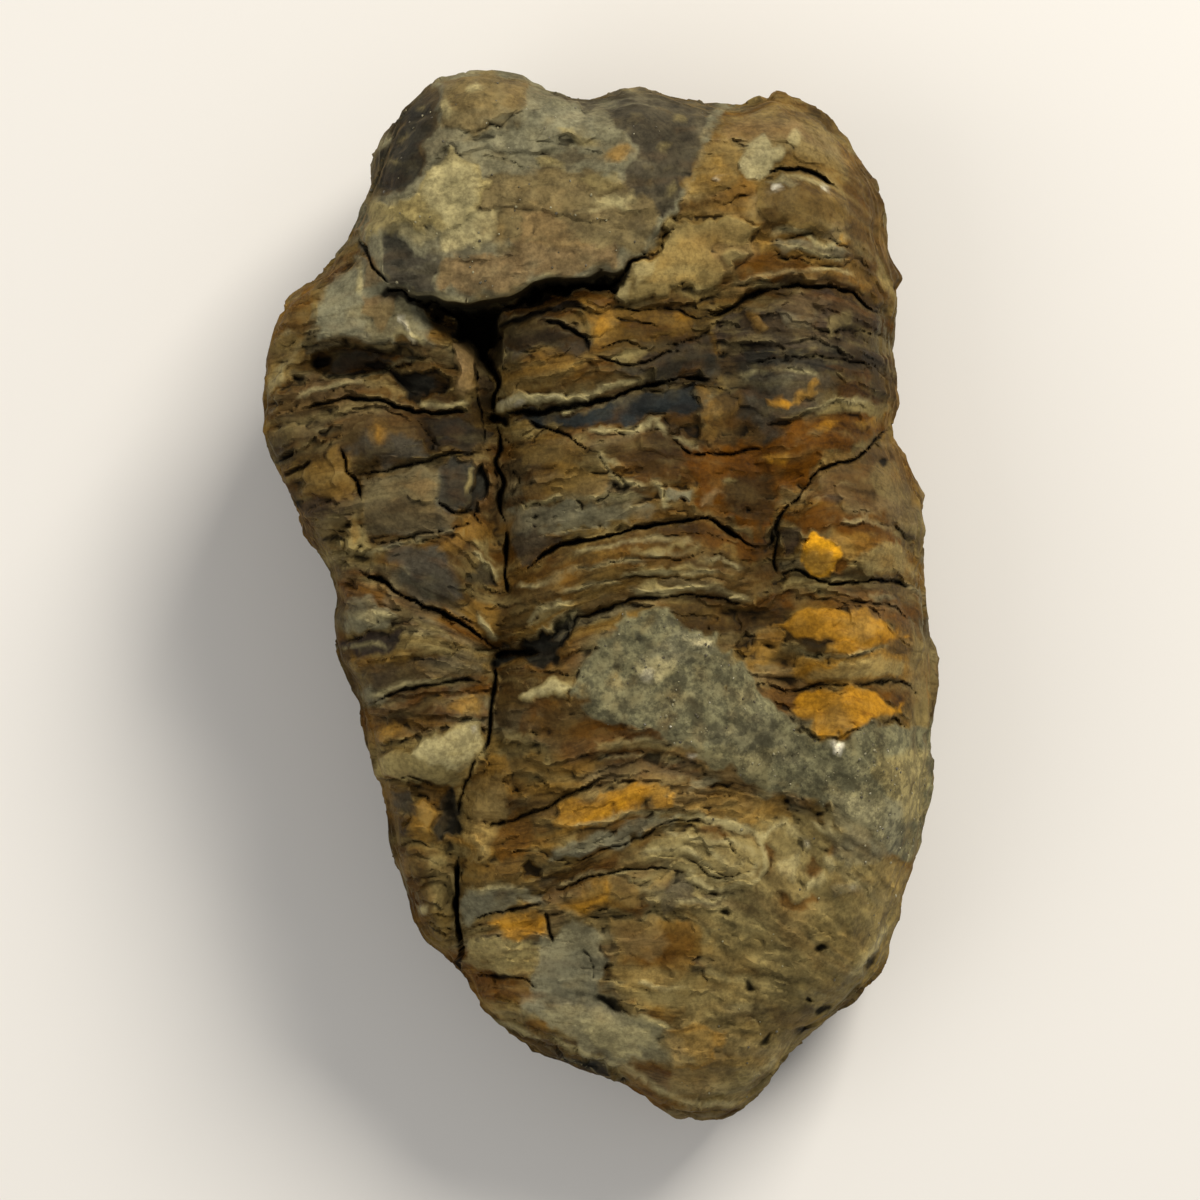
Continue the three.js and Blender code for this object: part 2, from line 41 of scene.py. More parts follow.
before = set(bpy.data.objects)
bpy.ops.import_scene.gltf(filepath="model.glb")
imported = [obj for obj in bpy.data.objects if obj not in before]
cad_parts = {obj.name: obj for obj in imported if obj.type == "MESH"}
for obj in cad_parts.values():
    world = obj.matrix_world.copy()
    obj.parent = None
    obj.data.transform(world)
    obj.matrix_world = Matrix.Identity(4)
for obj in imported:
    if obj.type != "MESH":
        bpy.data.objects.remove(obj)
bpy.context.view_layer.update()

# %% [markdown]
# ## Numbers that repeat
# Rock is uneven at every size, and it must come out the same each time. A hash of whole numbers gives
# repeatable chance values. Blended between neighbours they are value noise, and a few octaves look like
# weathered stone. Lengths in the arrays are in millimetres.


# %% Value noise
def chance(i, j, k, seed):
    """A repeatable value from -1 to 1 for each whole-number point."""
    n = i.astype(np.uint32) * np.uint32(374761393) + j.astype(np.uint32) * np.uint32(668265263)
    n = n + k.astype(np.uint32) * np.uint32(2246822519) + np.uint32(seed * 3266489917 % 2**32)
    n = (n ^ (n >> np.uint32(13))) * np.uint32(1274126177)
    n = (n ^ (n >> np.uint32(16))) * np.uint32(2654435761)
    return (n ^ (n >> np.uint32(15))).astype(np.float64) / 2.0**31 - 1.0


def soft(t):
    """0 below 0, 1 above 1, smooth between."""
    t = np.clip(t, 0.0, 1.0)
    return t * t * (3.0 - 2.0 * t)


def noise(x, y, z=None, size=1.0, seed=0):
    """Smooth noise from -1 to 1 with features about `size` mm wide."""
    x, y = np.asarray(x) / size, np.asarray(y) / size
    i, j = np.floor(x).astype(np.int64), np.floor(y).astype(np.int64)
    s, t = soft(x - i), soft(y - j)
    if z is None:
        layers = [(np.zeros_like(i), 1.0)]
    else:
        z = np.asarray(z) / size
        k = np.floor(z).astype(np.int64)
        r = soft(z - k)
        layers = [(k, 1.0 - r), (k + 1, r)]
    total = 0.0
    for k, share in layers:
        low = chance(i, j, k, seed) * (1 - s) + chance(i + 1, j, k, seed) * s
        high = chance(i, j + 1, k, seed) * (1 - s) + chance(i + 1, j + 1, k, seed) * s
        total = total + share * (low * (1 - t) + high * t)
    return total


def rough(x, y, z=None, size=1.0, octaves=3, seed=0):
    """Noise with finer and fainter noise on it."""
    total = 0.0
    for octave in range(octaves):
        total = total + 0.5**octave * noise(x, y, z, size / 2**octave, seed + 31 * octave)
    return total


# %% [markdown]
# ## Places on the map
# A line or an outline is text, "x y, x y", in millimetres from the middle of the stone. A table has one in
# a row, after its settings and a colon, which is easy to read and to add to. A curve rounds a line's
# corners.


# %% Read drawings
def rows_of(table):
    """Each row's settings and drawing. An indented line carries on the one above."""
    return [row.split(":") for row in table.strip().replace("\n ", " ").splitlines()]


def numbers_in(text):
    return [float(number) for number in text.split()]


def points_in(text):
    return np.array([numbers_in(point) for point in text.split(",")])


def curved(p):
    """The points joined by a smooth curve."""
    p = np.array([p[0], *p, p[-1]])
    t = np.arange(CURVE_STEPS)[:, None] / CURVE_STEPS
    pieces = []
    for a, b, c, d in zip(p, p[1:], p[2:], p[3:]):
        bend = (2 * a - 5 * b + 4 * c - d) * t + (3 * b - a - 3 * c + d) * t * t
        pieces.append(b + 0.5 * t * (c - a + bend))
    return np.array([*np.concatenate(pieces), p[-1]])


CURVE_STEPS = 5
print("reads rows such as", rows_of("0.3 1: 0 0, 1 2"))

# %% [markdown]
# ## The plan
# The back faces up, so its relief is drawn like a map: a height for each spot of a grid seen from above.
# Two arrays give each spot's place, pushed about by noise, so that a crack of five points comes out as
# crooked as a real one.

# %% The map's grid
SPACING = 0.08
grid_x = np.arange(-20.0, 20.0, SPACING)
grid_y = np.arange(-30.5, 30.5, SPACING)
map_x, map_y = np.meshgrid(grid_x, grid_y)
bent_x = map_x + 0.2 * noise(map_x, map_y, size=2.3, seed=1) + 0.12 * noise(map_x, map_y, size=0.7, seed=2)
bent_y = map_y + 0.2 * noise(map_x, map_y, size=2.1, seed=3) + 0.12 * noise(map_x, map_y, size=0.6, seed=4)
bent_y = bent_y + 0.06 * noise(map_x, map_y, size=0.28, seed=5)
ragged_x = rough(map_x, map_y, size=0.9, seed=6)
ragged_y = rough(map_x, map_y, size=0.9, seed=7)
uneven = rough(map_x, map_y, size=1.4, seed=8)
print("map:", map_x.shape)

# %% [markdown]
# ## How the beds run
# The rock's thin beds arch over the axis and dip to the sides. Each row follows one bed from the animal's
# left to its right. So each spot gets a number, how far up the pile it lies, and patterns drawn on that
# number follow the beds.

# %% Follow the beds
BED_X = [-19, -13, -9, -6, -2, 1, 4, 7, 10, 13, 16, 19]
BEDS = """
-31 -31 -31 -31 -31 -31.2 -31.5 -31.5 -31.2 -31 -31 -31
-25 -24.5 -24.2 -24.6 -25.8 -26.8 -27.6 -27.8 -27 -26.5 -26.5 -27
-21.5 -21.3 -21 -20.8 -21 -21.4 -21.6 -21.7 -22.2 -23 -24 -25
-19 -19 -18.4 -17.3 -16.2 -15.3 -14.9 -15.8 -17.4 -19.2 -21 -22.5
-14.2 -14 -14.3 -15 -14.8 -13.5 -12.4 -12.1 -13.2 -15 -17 -18.5
-10 -8.6 -9.4 -10.2 -9.8 -8.6 -8.1 -8.2 -8.8 -9.4 -10.4 -12
-6.8 -5.8 -4.7 -4.4 -5 -4.6 -4 -4.3 -4.6 -4.5 -4.9 -6.4
1.4 0.9 -0.6 -2.3 -1.3 0 0.4 0 0.7 1 0.8 -0.6
3 3.3 3.7 1.2 2.7 3.8 4.3 3.8 3.6 4.2 3.4 1.6
5.8 6.9 7.6 7.9 7.9 8.2 8.5 8 8 8.6 8 6.8
9.8 11 10.5 10.1 10.7 11.3 11.9 12.4 12.5 12.2 11.4 9.8
13.2 14 13.9 13.7 14.5 14.8 15.1 15.6 15.7 15.1 13.9 12.4
15.5 17.3 16.7 16.4 17.3 17.9 18.3 17.9 18 17.6 16.6 15
19 21 21.6 22 22 22.2 22.4 23 23.4 22.4 20.4 18.5
30 30 30 30 30 30 30 30 30.5 30 29 28
"""


def blurred(values, radius):
    """The map averaged over about `radius` mm."""
    half = max(1, int(round(radius / SPACING)))
    for axis in (0, 1, 0, 1):
        padded = np.pad(values, [(half + 1, half) if axis == a else (0, 0) for a in (0, 1)], "edge")
        total = np.cumsum(padded, axis)
        count = values.shape[axis]
        ahead = total.take(range(2 * half + 1, 2 * half + 1 + count), axis)
        values = (ahead - total.take(range(count), axis)) / (2 * half + 1)
    return values


bed_lines = np.array([np.interp(grid_x, BED_X, numbers_in(row)) for row in BEDS.strip().splitlines()])
AXIS_X = 1.0
bed_heights = bed_lines[:, np.searchsorted(grid_x, AXIS_X)]
beds = np.stack([np.interp(grid_y, bed_lines[:, c], bed_heights) for c in range(len(grid_x))], axis=1)
beds = blurred(beds, 0.6) + 0.6 * (bent_y - map_y)
print("beds from", round(beds.min(), 1), "to", round(beds.max(), 1))

# %% [markdown]
# ## Distances on the map
# A line needs each spot's distance and side, an outline how deep the spot lies inside. Booleans on the mesh
# would be slow and leave sharp, even edges. In arrays each shape is a few sums on the part of the map round
# it.


# %% Measure from lines and outlines
def window_round(low, high):
    """The part of the map between two corners."""
    rows, columns = np.searchsorted(grid_y, (low[1], high[1])), np.searchsorted(grid_x, (low[0], high[0]))
    return slice(*rows), slice(*columns)


def near_line(text, reach):
    """The window round a line, with the distance, the side and a share that falls off at the ends."""
    line = curved(points_in(text))
    window = window_round(line.min(0) - reach - 0.5, line.max(0) + reach + 0.5)
    x, y = bent_x[window], bent_y[window]
    away, side, along = np.full(x.shape, 1e9), np.zeros(x.shape), np.zeros(x.shape)
    reached = 0.0
    for a, b in zip(line, line[1:]):
        d = b - a
        length = np.hypot(*d)
        t = np.clip(((x - a[0]) * d[0] + (y - a[1]) * d[1]) / length**2, 0, 1)
        gap = np.hypot(x - a[0] - t * d[0], y - a[1] - t * d[1])
        closer = gap < away
        away = np.where(closer, gap, away)
        side = np.where(closer, np.sign(d[0] * (y - a[1]) - d[1] * (x - a[0])), side)
        along = np.where(closer, reached + t * length, along)
        reached += length
    ends = np.clip(np.minimum(along, reached - along) / (TAPER * reached), 0.15, 1.0)
    return window, away, side, ends


def inside(text):
    """The window round an outline, and how deep each spot lies in it, negative outside, in mm."""
    line = points_in(text)
    window = window_round(line.min(0) - 2.5, line.max(0) + 2.5)
    x = bent_x[window] + OUTLINE_RAGGED * ragged_x[window]
    y = bent_y[window] + OUTLINE_RAGGED * ragged_y[window]
    away, within = np.full(x.shape, 1e9), np.zeros(x.shape, bool)
    for a, b in zip(line, np.roll(line, -1, axis=0)):
        d = b - a
        t = np.clip(((x - a[0]) * d[0] + (y - a[1]) * d[1]) / (d @ d), 0, 1)
        away = np.minimum(away, np.hypot(x - a[0] - t * d[0], y - a[1] - t * d[1]))
        if a[1] != b[1]:
            within ^= ((a[1] > y) != (b[1] > y)) & (x < d[0] * (y - a[1]) / d[1] + a[0])
    return window, np.where(within, away, -away)


def inside_oval(text):
    """The same for an oval: its middle, its half length, its half width, and its turn in degrees."""
    x, y, half_x, half_y, turn = points_in(text)[0]
    reach = max(half_x, half_y) + 1.5
    window = window_round([x - reach, y - reach], [x + reach, y + reach])
    c, s = math.cos(math.radians(turn)), math.sin(math.radians(turn))
    dx = bent_x[window] + OVAL_RAGGED * ragged_x[window] - x
    dy = bent_y[window] + OVAL_RAGGED * ragged_y[window] - y
    ratio = np.hypot((dx * c + dy * s) / half_x, (dy * c - dx * s) / half_y)
    return window, (1 - ratio) * min(half_x, half_y)


def on_whole_map(text):
    """The depths inside an outline, on a map of full size."""
    full = np.full(map_x.shape, -9.0)
    window, depth = inside(text)
    full[window] = depth
    return full


TAPER = 0.14  # the share of a line's length over which each end thins out
OUTLINE_RAGGED, OVAL_RAGGED = 0.35, 0.15  # how far borders wander, mm
print("a line 8 mm long takes a window of", near_line("0 -4, 0 4", reach=2)[1].shape, "spots")


# %% [markdown]
# ## Minerals
# The shell is calcite turned olive and tan. Its iron has rusted to ochre and orange limonite and darker
# goethite, and manganese makes the ink-black and plum skins. A stain has a ground colour and a vein colour
# for its streaks. One function turns sRGB hex values to linear ones.


# %% Pigments
def linear(code):
    """An sRGB hex colour as linear red, green and blue."""
    values = np.array([int(code[i : i + 2], 16) / 255 for i in (1, 3, 5)])
    return np.where(values <= 0.04045, values / 12.92, ((values + 0.055) / 1.055) ** 2.4)


PIGMENTS = {
    "olive": ("#6b562b", "#3f3216"),
    "tan": ("#8f8051", "#6c5a33"),
    "bone": ("#aa9e70", "#877a4c"),
    "slate": ("#747058", "#524e3b"),
    "sand": ("#6c684d", "#4b4732"),
    "shale": ("#454034", "#2d2a22"),
    "rose": ("#7a623e", "#5c4629"),
    "ochre": ("#8b682a", "#5c4015"),
    "orange": ("#b07c1c", "#835310"),
    "brass": ("#d89b1c", "#a46c12"),
    "rust": ("#5c3706", "#382105"),
    "umber": ("#3c2b12", "#221809"),
    "plum": ("#392e24", "#221c18"),
    "ink": ("#2b2a23", "#181814"),
    "night": ("#292d2c", "#171a1b"),
    # white calcite laid as tiny specks that stand for glints: painted highlights
    "spar": ("#cfc9b4", "#b0aa92"),
}
ground = np.ones(map_x.shape + (3,)) * linear(PIGMENTS["olive"][0])
vein = np.ones(map_x.shape + (3,)) * linear(PIGMENTS["olive"][1])
# The darkening mask holds dark dirt and painted shade in cracks, pits, hollows and the gap under the slab;
# the lightening mask holds rubbed pale calcite and painted highlights on edges.
relief, dirt_and_shade, wear_and_sheen, calm = (np.zeros_like(map_x) for _ in range(4))
fray = np.clip(1.1 + 0.5 * rough(map_x, beds, size=0.9, octaves=4, seed=9), 0.45, 1.0)


def at_least(layer, values, window=slice(None)):
    layer[window] = np.maximum(layer[window], values)


def paint(window, share, pigment):
    """Lays a pigment over part of the map."""
    for layer, code in zip((ground, vein), PIGMENTS[pigment]):
        layer[window] += share[..., None] * (linear(code) - layer[window])


def streaks(pigment, thick, length, share, seed, cover=0.0):
    """Streaks along the beds, fainter on calm plates."""
    value = rough(map_x / length, beds / thick, size=1.0, octaves=3, seed=seed)
    paint(slice(None), share * (1 - 0.85 * calm) * soft(2.4 * (value + cover)), pigment)


streaks("ochre", 1.6, 6.0, 0.6, 100)
streaks("slate", 1.1, 5.0, 0.5, 101)
streaks("umber", 0.9, 4.5, 0.75, 102, cover=0.05)
streaks("tan", 0.7, 3.5, 0.4, 103, cover=-0.1)
streaks("rust", 2.4, 3.4, 0.5, 104, cover=-0.15)
print(len(PIGMENTS), "pigments")

# %% [markdown]
# ## Flaking beds
# The beds have peeled in hundreds of small flakes, too many to draw. Noise stretched along the beds is cut
# into levels, as a contour map is. Each level is a flake with a flat top, a wandering border and a tint.
# Three sizes lie on top of each other.


# %% Peeled flakes
def flakes(length, width, count, height, seed):
    """Heights of flat flakes, and a tint from -1 to 1 for each."""
    level = count * rough(bent_x / length, beds / width, size=1.0, octaves=5, seed=seed)
    level = level + 0.15 * beds / width
    number = np.floor(level)
    tops = height * (number + 0.3 * (number - level))
    tint = chance(number.astype(np.int64), np.full(number.shape, seed), np.zeros(number.shape), seed)
    return tops - blurred(tops, 1.5), tint


flaked, tint = np.zeros_like(map_x), np.zeros_like(map_x)
for length, width, count, height, seed in (
    (9.0, 3.4, 2.2, 0.26, 40),
    (4.5, 1.5, 1.6, 0.09, 50),
    (2.0, 0.7, 1.2, 0.03, 60),
):
    tops, own = flakes(length, width, count, height, seed)
    flaked += tops
    tint += 0.35 * own
print("flakes from", round(flaked.min(), 2), "to", round(flaked.max(), 2), "mm")

# %% [markdown]
# ## Chips
# Rock also breaks into small flat faces at odd angles. Each chip belongs to the nearest of many scattered
# points, with a tilt and a tint of its own. The function works in the plan and, with a third coordinate,
# all round the stone. Hairlines open between some chips.


# %% Chips
def chips(x, y, z=None, size=1.0, seed=0):
    """Heights of tilted chips, each spot's distance to the next chip as a share of the size, and a tint."""
    place = [np.asarray(x) / size, np.asarray(y) / size] + ([] if z is None else [np.asarray(z) / size])
    cell = [np.floor(p).astype(np.int64) for p in place]
    nearest, second = np.full(place[0].shape, 9.0), np.full(place[0].shape, 9.0)
    height, own = np.zeros(place[0].shape), np.zeros(place[0].shape)
    for step in np.ndindex(*(3,) * len(place)):
        corner = [c + s - 1 for c, s in zip(cell, step)]
        key = corner if z is not None else [*corner, np.zeros_like(corner[0])]
        gaps = [p - c - 0.5 - 0.45 * chance(*key, seed + n) for n, (p, c) in enumerate(zip(place, corner))]
        away = np.sqrt(sum(g * g for g in gaps))
        level = chance(*key, seed + 20)
        tilt = sum(g * chance(*key, seed + 10 + n) for n, g in enumerate(gaps)) + 0.35 * level
        closer = away < nearest
        second = np.minimum(np.where(closer, nearest, second), np.where(closer, 9.0, away))
        height, own = np.where(closer, tilt, height), np.where(closer, level, own)
        nearest = np.minimum(nearest, away)
    return height, second - nearest, own


chipped, joints = np.zeros_like(map_x), np.zeros_like(map_x)
for size, height, seed in ((4.6, 0.5, 70), (2.1, 0.15, 73), (0.9, 0.05, 76)):
    tilted, border, own = chips(bent_x, 0.4 * bent_y + 1.3 * beds, size=size, seed=seed)
    chipped += height * tilted * soft(border / 0.12)
    tint += 0.2 * own
    open_here = soft(2.5 * noise(map_x, map_y, size=2.0, seed=seed + 2) - 0.6) * (size > 1)
    joints = np.maximum(joints, open_here * np.exp(-((border * size / 0.11) ** 2)))
print("chips from", round(chipped.min(), 2), "to", round(chipped.max(), 2), "mm")

# %% [markdown]
# ## Plates
# The rest is drawn. A plate is a place where one mineral shows. A row gives the mineral, its share, how far
# it stands out in millimetres, how much it hides the flakes, and an outline or an oval. Later rows lie over
# earlier ones. Dark rows that sink deep, into hollows and grooves, are dark mineral and painted shade. First
# comes the smooth slab.


# %% Plates of the head slab
PLATE_BORDER = 0.2


def lay(table):
    """Paints and lifts plates. A shape of one point is an oval, and minerals may share a shape."""
    plates = [(plate, shape) for settings, shape in rows_of(table) for plate in settings.split(";")]
    for plate, shape in plates:
        pigment, numbers = plate.split(maxsplit=1)
        share, lift, hides = numbers_in(numbers)
        window, depth = inside(shape) if "," in shape else inside_oval(shape)
        within = soft(depth / PLATE_BORDER + 0.5)
        paint(window, share * within * fray[window], pigment)
        relief[window] += lift * within
        at_least(calm, hides * within, window)
        tint[window] *= 1 - 0.7 * hides * within
        # A thin dark line just outside each plate: a dark joint, and painted shade under the plate's edge.
        joint_and_shade_rim = 0.4 * hides * np.exp(-(((depth + 0.1) / 0.1) ** 2)) * soft(0.5 + uneven[window])
        dirt_and_shade[window] *= 1 - 0.9 * hides * within
        at_least(dirt_and_shade, joint_and_shade_rim, window)
    print(len(plates), "plates laid")


SLAB = (
    "-13.1 19.3, -12.6 18.2, -12 16.9, -10.4 16.5, -8.8 16.2, -6.6 16, -4.8 16, -3.5 16.7,"
    "-2.2 17.4, -0.5 17.4, 1 17.8, 2 18.8, 2.8 19.7, 3.8 20.3, 5 21.8, 5.6 24, 7.2 27, 9 31, -9 31,"
    "-15 24"
)
lay(
    f"""
slate 0.9 0 0.9: {SLAB}
olive 0.6 0 0.9: -6.4 22.6, -2 23.6, 1.4 22.8, 3.4 21, 1.8 19, -4 19, -6.6 20
slate 0.9 0.2 0.9: -9.2 24.4, -7 25.2, -4.8 25.6, -3.4 26.8, -1.4 27.2, 0 26.2, -1 25.2, -4.6 24.5
olive 0.6 0.18 0.9: -8.9 26, -8.6 28.4, -6 29.4, -3.6 28.6, -4.2 26.8, -5.4 25.9, -7.4 25.5
tan 0.95 0.2 0.9: -10.2 21.8, -9.6 23.6, -8 24.3, -6.4 23.6, -5.6 22.6, -6.4 21.4, -7.4 20.1, -9.4 20,
  -11.8 21.4
bone 1 0 0.9: -10 21.8, -9.4 23.6, -8 24.2, -6.6 23.4, -6.6 21.8, -7.6 20.4, -9.4 20.6
bone 0.75 0.05 0.9: -9 19.8, -7 21.2, -5.2 21.2, -5.9 19.2, -8.6 18.7
olive 0.3 0 0.9: -8.4 26.6, -8 28.4, -6 29, -4 28.2, -4.6 27, -6 26.4
umber 0.85 -0.15 0.8: -13 22, -12 25, -11 27.4, -9.6 28.8, -8.8 27.2, -9.6 25, -10 23.2, -11.4 22.2
ink 0.7 -0.1 0.8: -12.6 22.4, -11.8 25.6, -10.6 27.2, -9.8 27.6, -9.6 25.6, -10 24.4, -10.2 22.8
tan 0.85 0.1 0.9: -13 20.6, -12.4 21.6, -10.6 21.6, -9.9 20.6, -10.9 20.2, -11.9 20.4, -12.8 19.6
shale 0.95 -0.12 0.9: -11.9 19.6, -10.8 20, -10 18.9, -8.6 18.5, -8.8 16.9, -11.8 17.2
ink 0.45 0 0.9: -11.8 19.3, -10.9 19.8, -10.2 18.8, -10 17.6, -11.7 17.5
slate 0.5 0.08 0.9: -10.2 18, -9.2 18.2, -9.4 17.5, -10.4 17.4
rose 0.75 0.05 0.9: -8.6 18.3, -6 18.9, -2 19.5, 0.8 19, 0.6 18.2, -3.4 17.3, -5 16.5, -8.4 16.7
rose 0.6 0 0.9: -4.4 20.9, -1.8 20.6, -1.6 19.6, -4.2 19.4
umber 0.2 0 0.9: -5.2 23.2, -1 23.4, 3.4 21.4, 1.8 20.4, -4 21.2
shale 1 -0.08 0.8: 1.6 22.6, 3.6 20.4, 5 22.4, 5.4 25, 6.8 28.4, -0.6 28.4, -3 27.6, 0.2 26.6, 1.8 24.6
ink 0.35 0 0.8: 2.2 23, 3.8 21.4, 4.8 23, 5 25.4, 5.6 27.6, 1 27.4, 0.6 26.4, 2.2 25
umber 0.5 -0.06 0.8: -3.2 24.6, -2 24.7, 0.1 24.3, -1.4 24, -2.4 23.8
tan 0.7 0.08 0.9: -3.6 24.2, -2.4 24.4, -1.9 23.7, -3.2 23.3
ochre 0.7 0.03 0.9: 0.8 24.3 0.7 0.45 30
bone 0.6 0.06 0.9: -1.1 21.1, 0 21.6, 1.2 22, 1.9 22.2, 1.4 21.6, 0.2 21.2
slate 0.9 0.1 0.9: 0.6 27 0.6 0.3 0
tan 0.6 0.05 0.9: -2 25.7, -0.2 25.4, -0.4 24.9, -1.8 25
tan 0.5 0.1 0.9: -1 22.9, 1.2 23.2, 1.4 22.4, -0.4 22.2
bone 0.6 0.1 0.9: -0.4 21.9, 0.8 22, 2.2 20.9, 0.8 21.3
bone 0.7 0.08 0.9: -8.4 26.6 0.35 0.5 20
bone 0.8 0.1 0.9: -6.6 27.9 0.4 0.2 0
bone 0.6 0.06 0.9: -7.4 22.6, -6.2 23, -5.9 22.4, -7 22.1
bone 0.15 0 0: -10.2 21.8, -9.6 23.6, -8 24.3, -6.4 23.6, -5.6 22.6, -6.6 21.2, -7.4 20.1, -9.4 20
olive 0.15 0 0; ink 0.4 0 0: 1.6 22.6, 3.6 20.4, 5 22.4, 5.4 25, 6.8 28.4, -0.6 28.4, -3 27.6, 0.2 26.6,
  1.8 24.6
ink 0.6 0 0.8: -12.7 22.4, -11.9 25.4, -10.8 27.4, -9.4 27.8, -9.3 25.6, -10 24.2, -10.3 22.9
tan 0.5 0.04 0.8: -10.7 25.4 0.25 0.15 20
tan 0.5 0.04 0.8: -11.3 24 0.2 0.15 0
tan 0.4 0.04 0.8: -10 27 0.3 0.15 0
shale 0.85 0 0.9: -11.9 18.4, -9.8 18.7, -9 17.6, -8.8 16.4, -10.4 16.7, -11.6 17
ink 0.5 0 0.9: -11.8 19.9, -10.9 20.1, -10.3 19.2, -10.6 18.2, -11.8 18.4
umber 0.15 0 0: -8.8 18.6, -6 19.4, -2 19.8, 1 19.2, 0.6 18, -2.2 17.6, -3.6 17, -5 16.4, -8.4 16.6
tan 0.35 0 0.9: -11.8 22, -10 21.9, -8.8 20.4, -9.4 19.4, -11.8 19.8
tan 0.5 0.05 0.8: 3.4 24.6 0.35 0.2 20
tan 0.5 0.05 0.8: 4.3 26.4 0.4 0.25 0
tan 0.4 0.05 0.8: 3.9 22.2 0.3 0.25 0
"""
)

# %% [markdown]
# ## The right cheek
# Right of the slab the shell has worn down to ochre and rust, with one pale chip of calcite. Every region
# has its own table. Broad, faint rows come first and small, strong ones last, as a painter would lay them.

# %% Plates of the right head
# The spar specks in this table are painted glints.
lay(
    """
ochre 0.25 0 0.6: 4.4 20.6, 5.6 24, 7.4 27, 10 28, 13.6 25.6, 16.4 21, 17 16.8, 12 17.6, 7 17.8
rose 0.55 0 0.8: 6.4 25.2, 8 26.6, 10.4 26.5, 11.8 25.2, 9.6 24.9, 8.2 25.6
ochre 0.5 0.1 0.6: 4.4 22, 5.6 24.6, 6.6 25.4, 7.6 24.4, 7 22.6, 5.6 21.9
brass 0.15 0.05 0.6: 5.2 22.5, 6.8 24.2, 7.1 23.2, 6.2 22.5
tan 0.3 0 0.6: 4.6 22, 5.6 24.4, 6.6 25.6, 7.6 24.6, 7.2 22.6, 5.8 21.9
bone 0.9 0.2 1; slate 0.35 0 1: 7.5 24.2, 8 25, 8.9 25.5, 9.4 24.8, 10.2 24.5, 9.7 23.8, 9 23, 8.1 23,
  7.7 23.6
bone 0.7 0.1 0.9: 10.6 25.2 0.3 0.45 -10
olive 0.9 0.25 0.9: 8.5 21.6, 9.1 23, 10.6 23.3, 12.4 22.4, 13.8 21.8, 13.4 20.6, 11.6 20, 9 20.6
umber 0.55 0 0.9: 8.7 21.6, 9.4 22.8, 10.6 23, 12.4 22.2, 13.6 21.6, 13.2 20.8, 11.6 20.2, 9.2 20.8
umber 0.7 -0.1 0.6: 8.4 21.5, 9.8 21.6, 10 20.2, 8.6 20
slate 0.5 0.1 0.7: 9.2 22.8, 10.4 23.2, 11 22.6, 9.6 22.2
tan 0.5 0.4 0.9: 0.7 16.4, 1.5 18.1, 2.8 18.6, 3.9 20.3, 7 20.9, 8.4 20.2, 8 18.8, 6.8 17.4, 4 16.7, 1.4 16
bone 0.5 0.1 0.9: 1 17.2, 1.6 17.4, 1.5 16.2, 0.8 16.2
bone 0.4 0.1 0.9: 1.8 18.1, 2.8 18.4, 2.9 17.4, 1.9 17.2
rose 0.5 -0.1 0.7: 6.2 19.2, 8.6 19.4, 8.2 18, 7 17.8
tan 0.6 0.2 0.8: 7.4 18.5 0.5 0.5 0
rust 0.75 0 0.3: 7.4 18.3, 9.2 18.9, 12 17.7, 10.8 17.2, 7.8 17.2
ochre 0.8 0.1 0.4: 11 17.7, 12 17.6, 11.4 17.2, 10.4 17.3
slate 0.8 0.1 0.2: 9.8 19.8, 13.4 19.3, 13.6 18.7, 10.4 18.7, 9.4 19.4
umber 0.35 0 0.3: 8.6 18.9, 12 19.4, 15.4 18.4, 15.4 17.6, 12 18.2, 8.6 17.8
spar 1 0.03 1: 9.6 22.4 0.17 0.15 20
spar 1 0.03 1: 12.4 22.4 0.15 0.15 0
spar 0.6 0.05 1: 6.3 22.9 0.15 0.12 0
brass 0.5 0.1 0.7: 13.4 19.8 0.4 0.3 0
ink 0.55 -0.05 0.8: 8.4 16.7, 10.6 17.6, 13.2 17.9, 14.6 17.2, 12.4 16.7, 10 16.6
rust 0.45 0 0.4: 13.2 25.2, 14.6 24.8, 16.8 20, 16.9 17.2, 15 17.4, 13.8 21
umber 0.65 0 0.4: 13.6 24, 15.4 23.6, 16.9 18, 14.8 17.6, 13.6 20
tan 0.6 0 0.5: 15.2 18.8, 16.2 18, 16.5 16.4, 15.6 16.6
umber 0.85 -0.25 0.3: 6.4 16.1, 9.4 17, 12.4 17.6, 14.4 17.2, 16 15.8, 14 16.1, 11 16.7, 8 16
"""
)
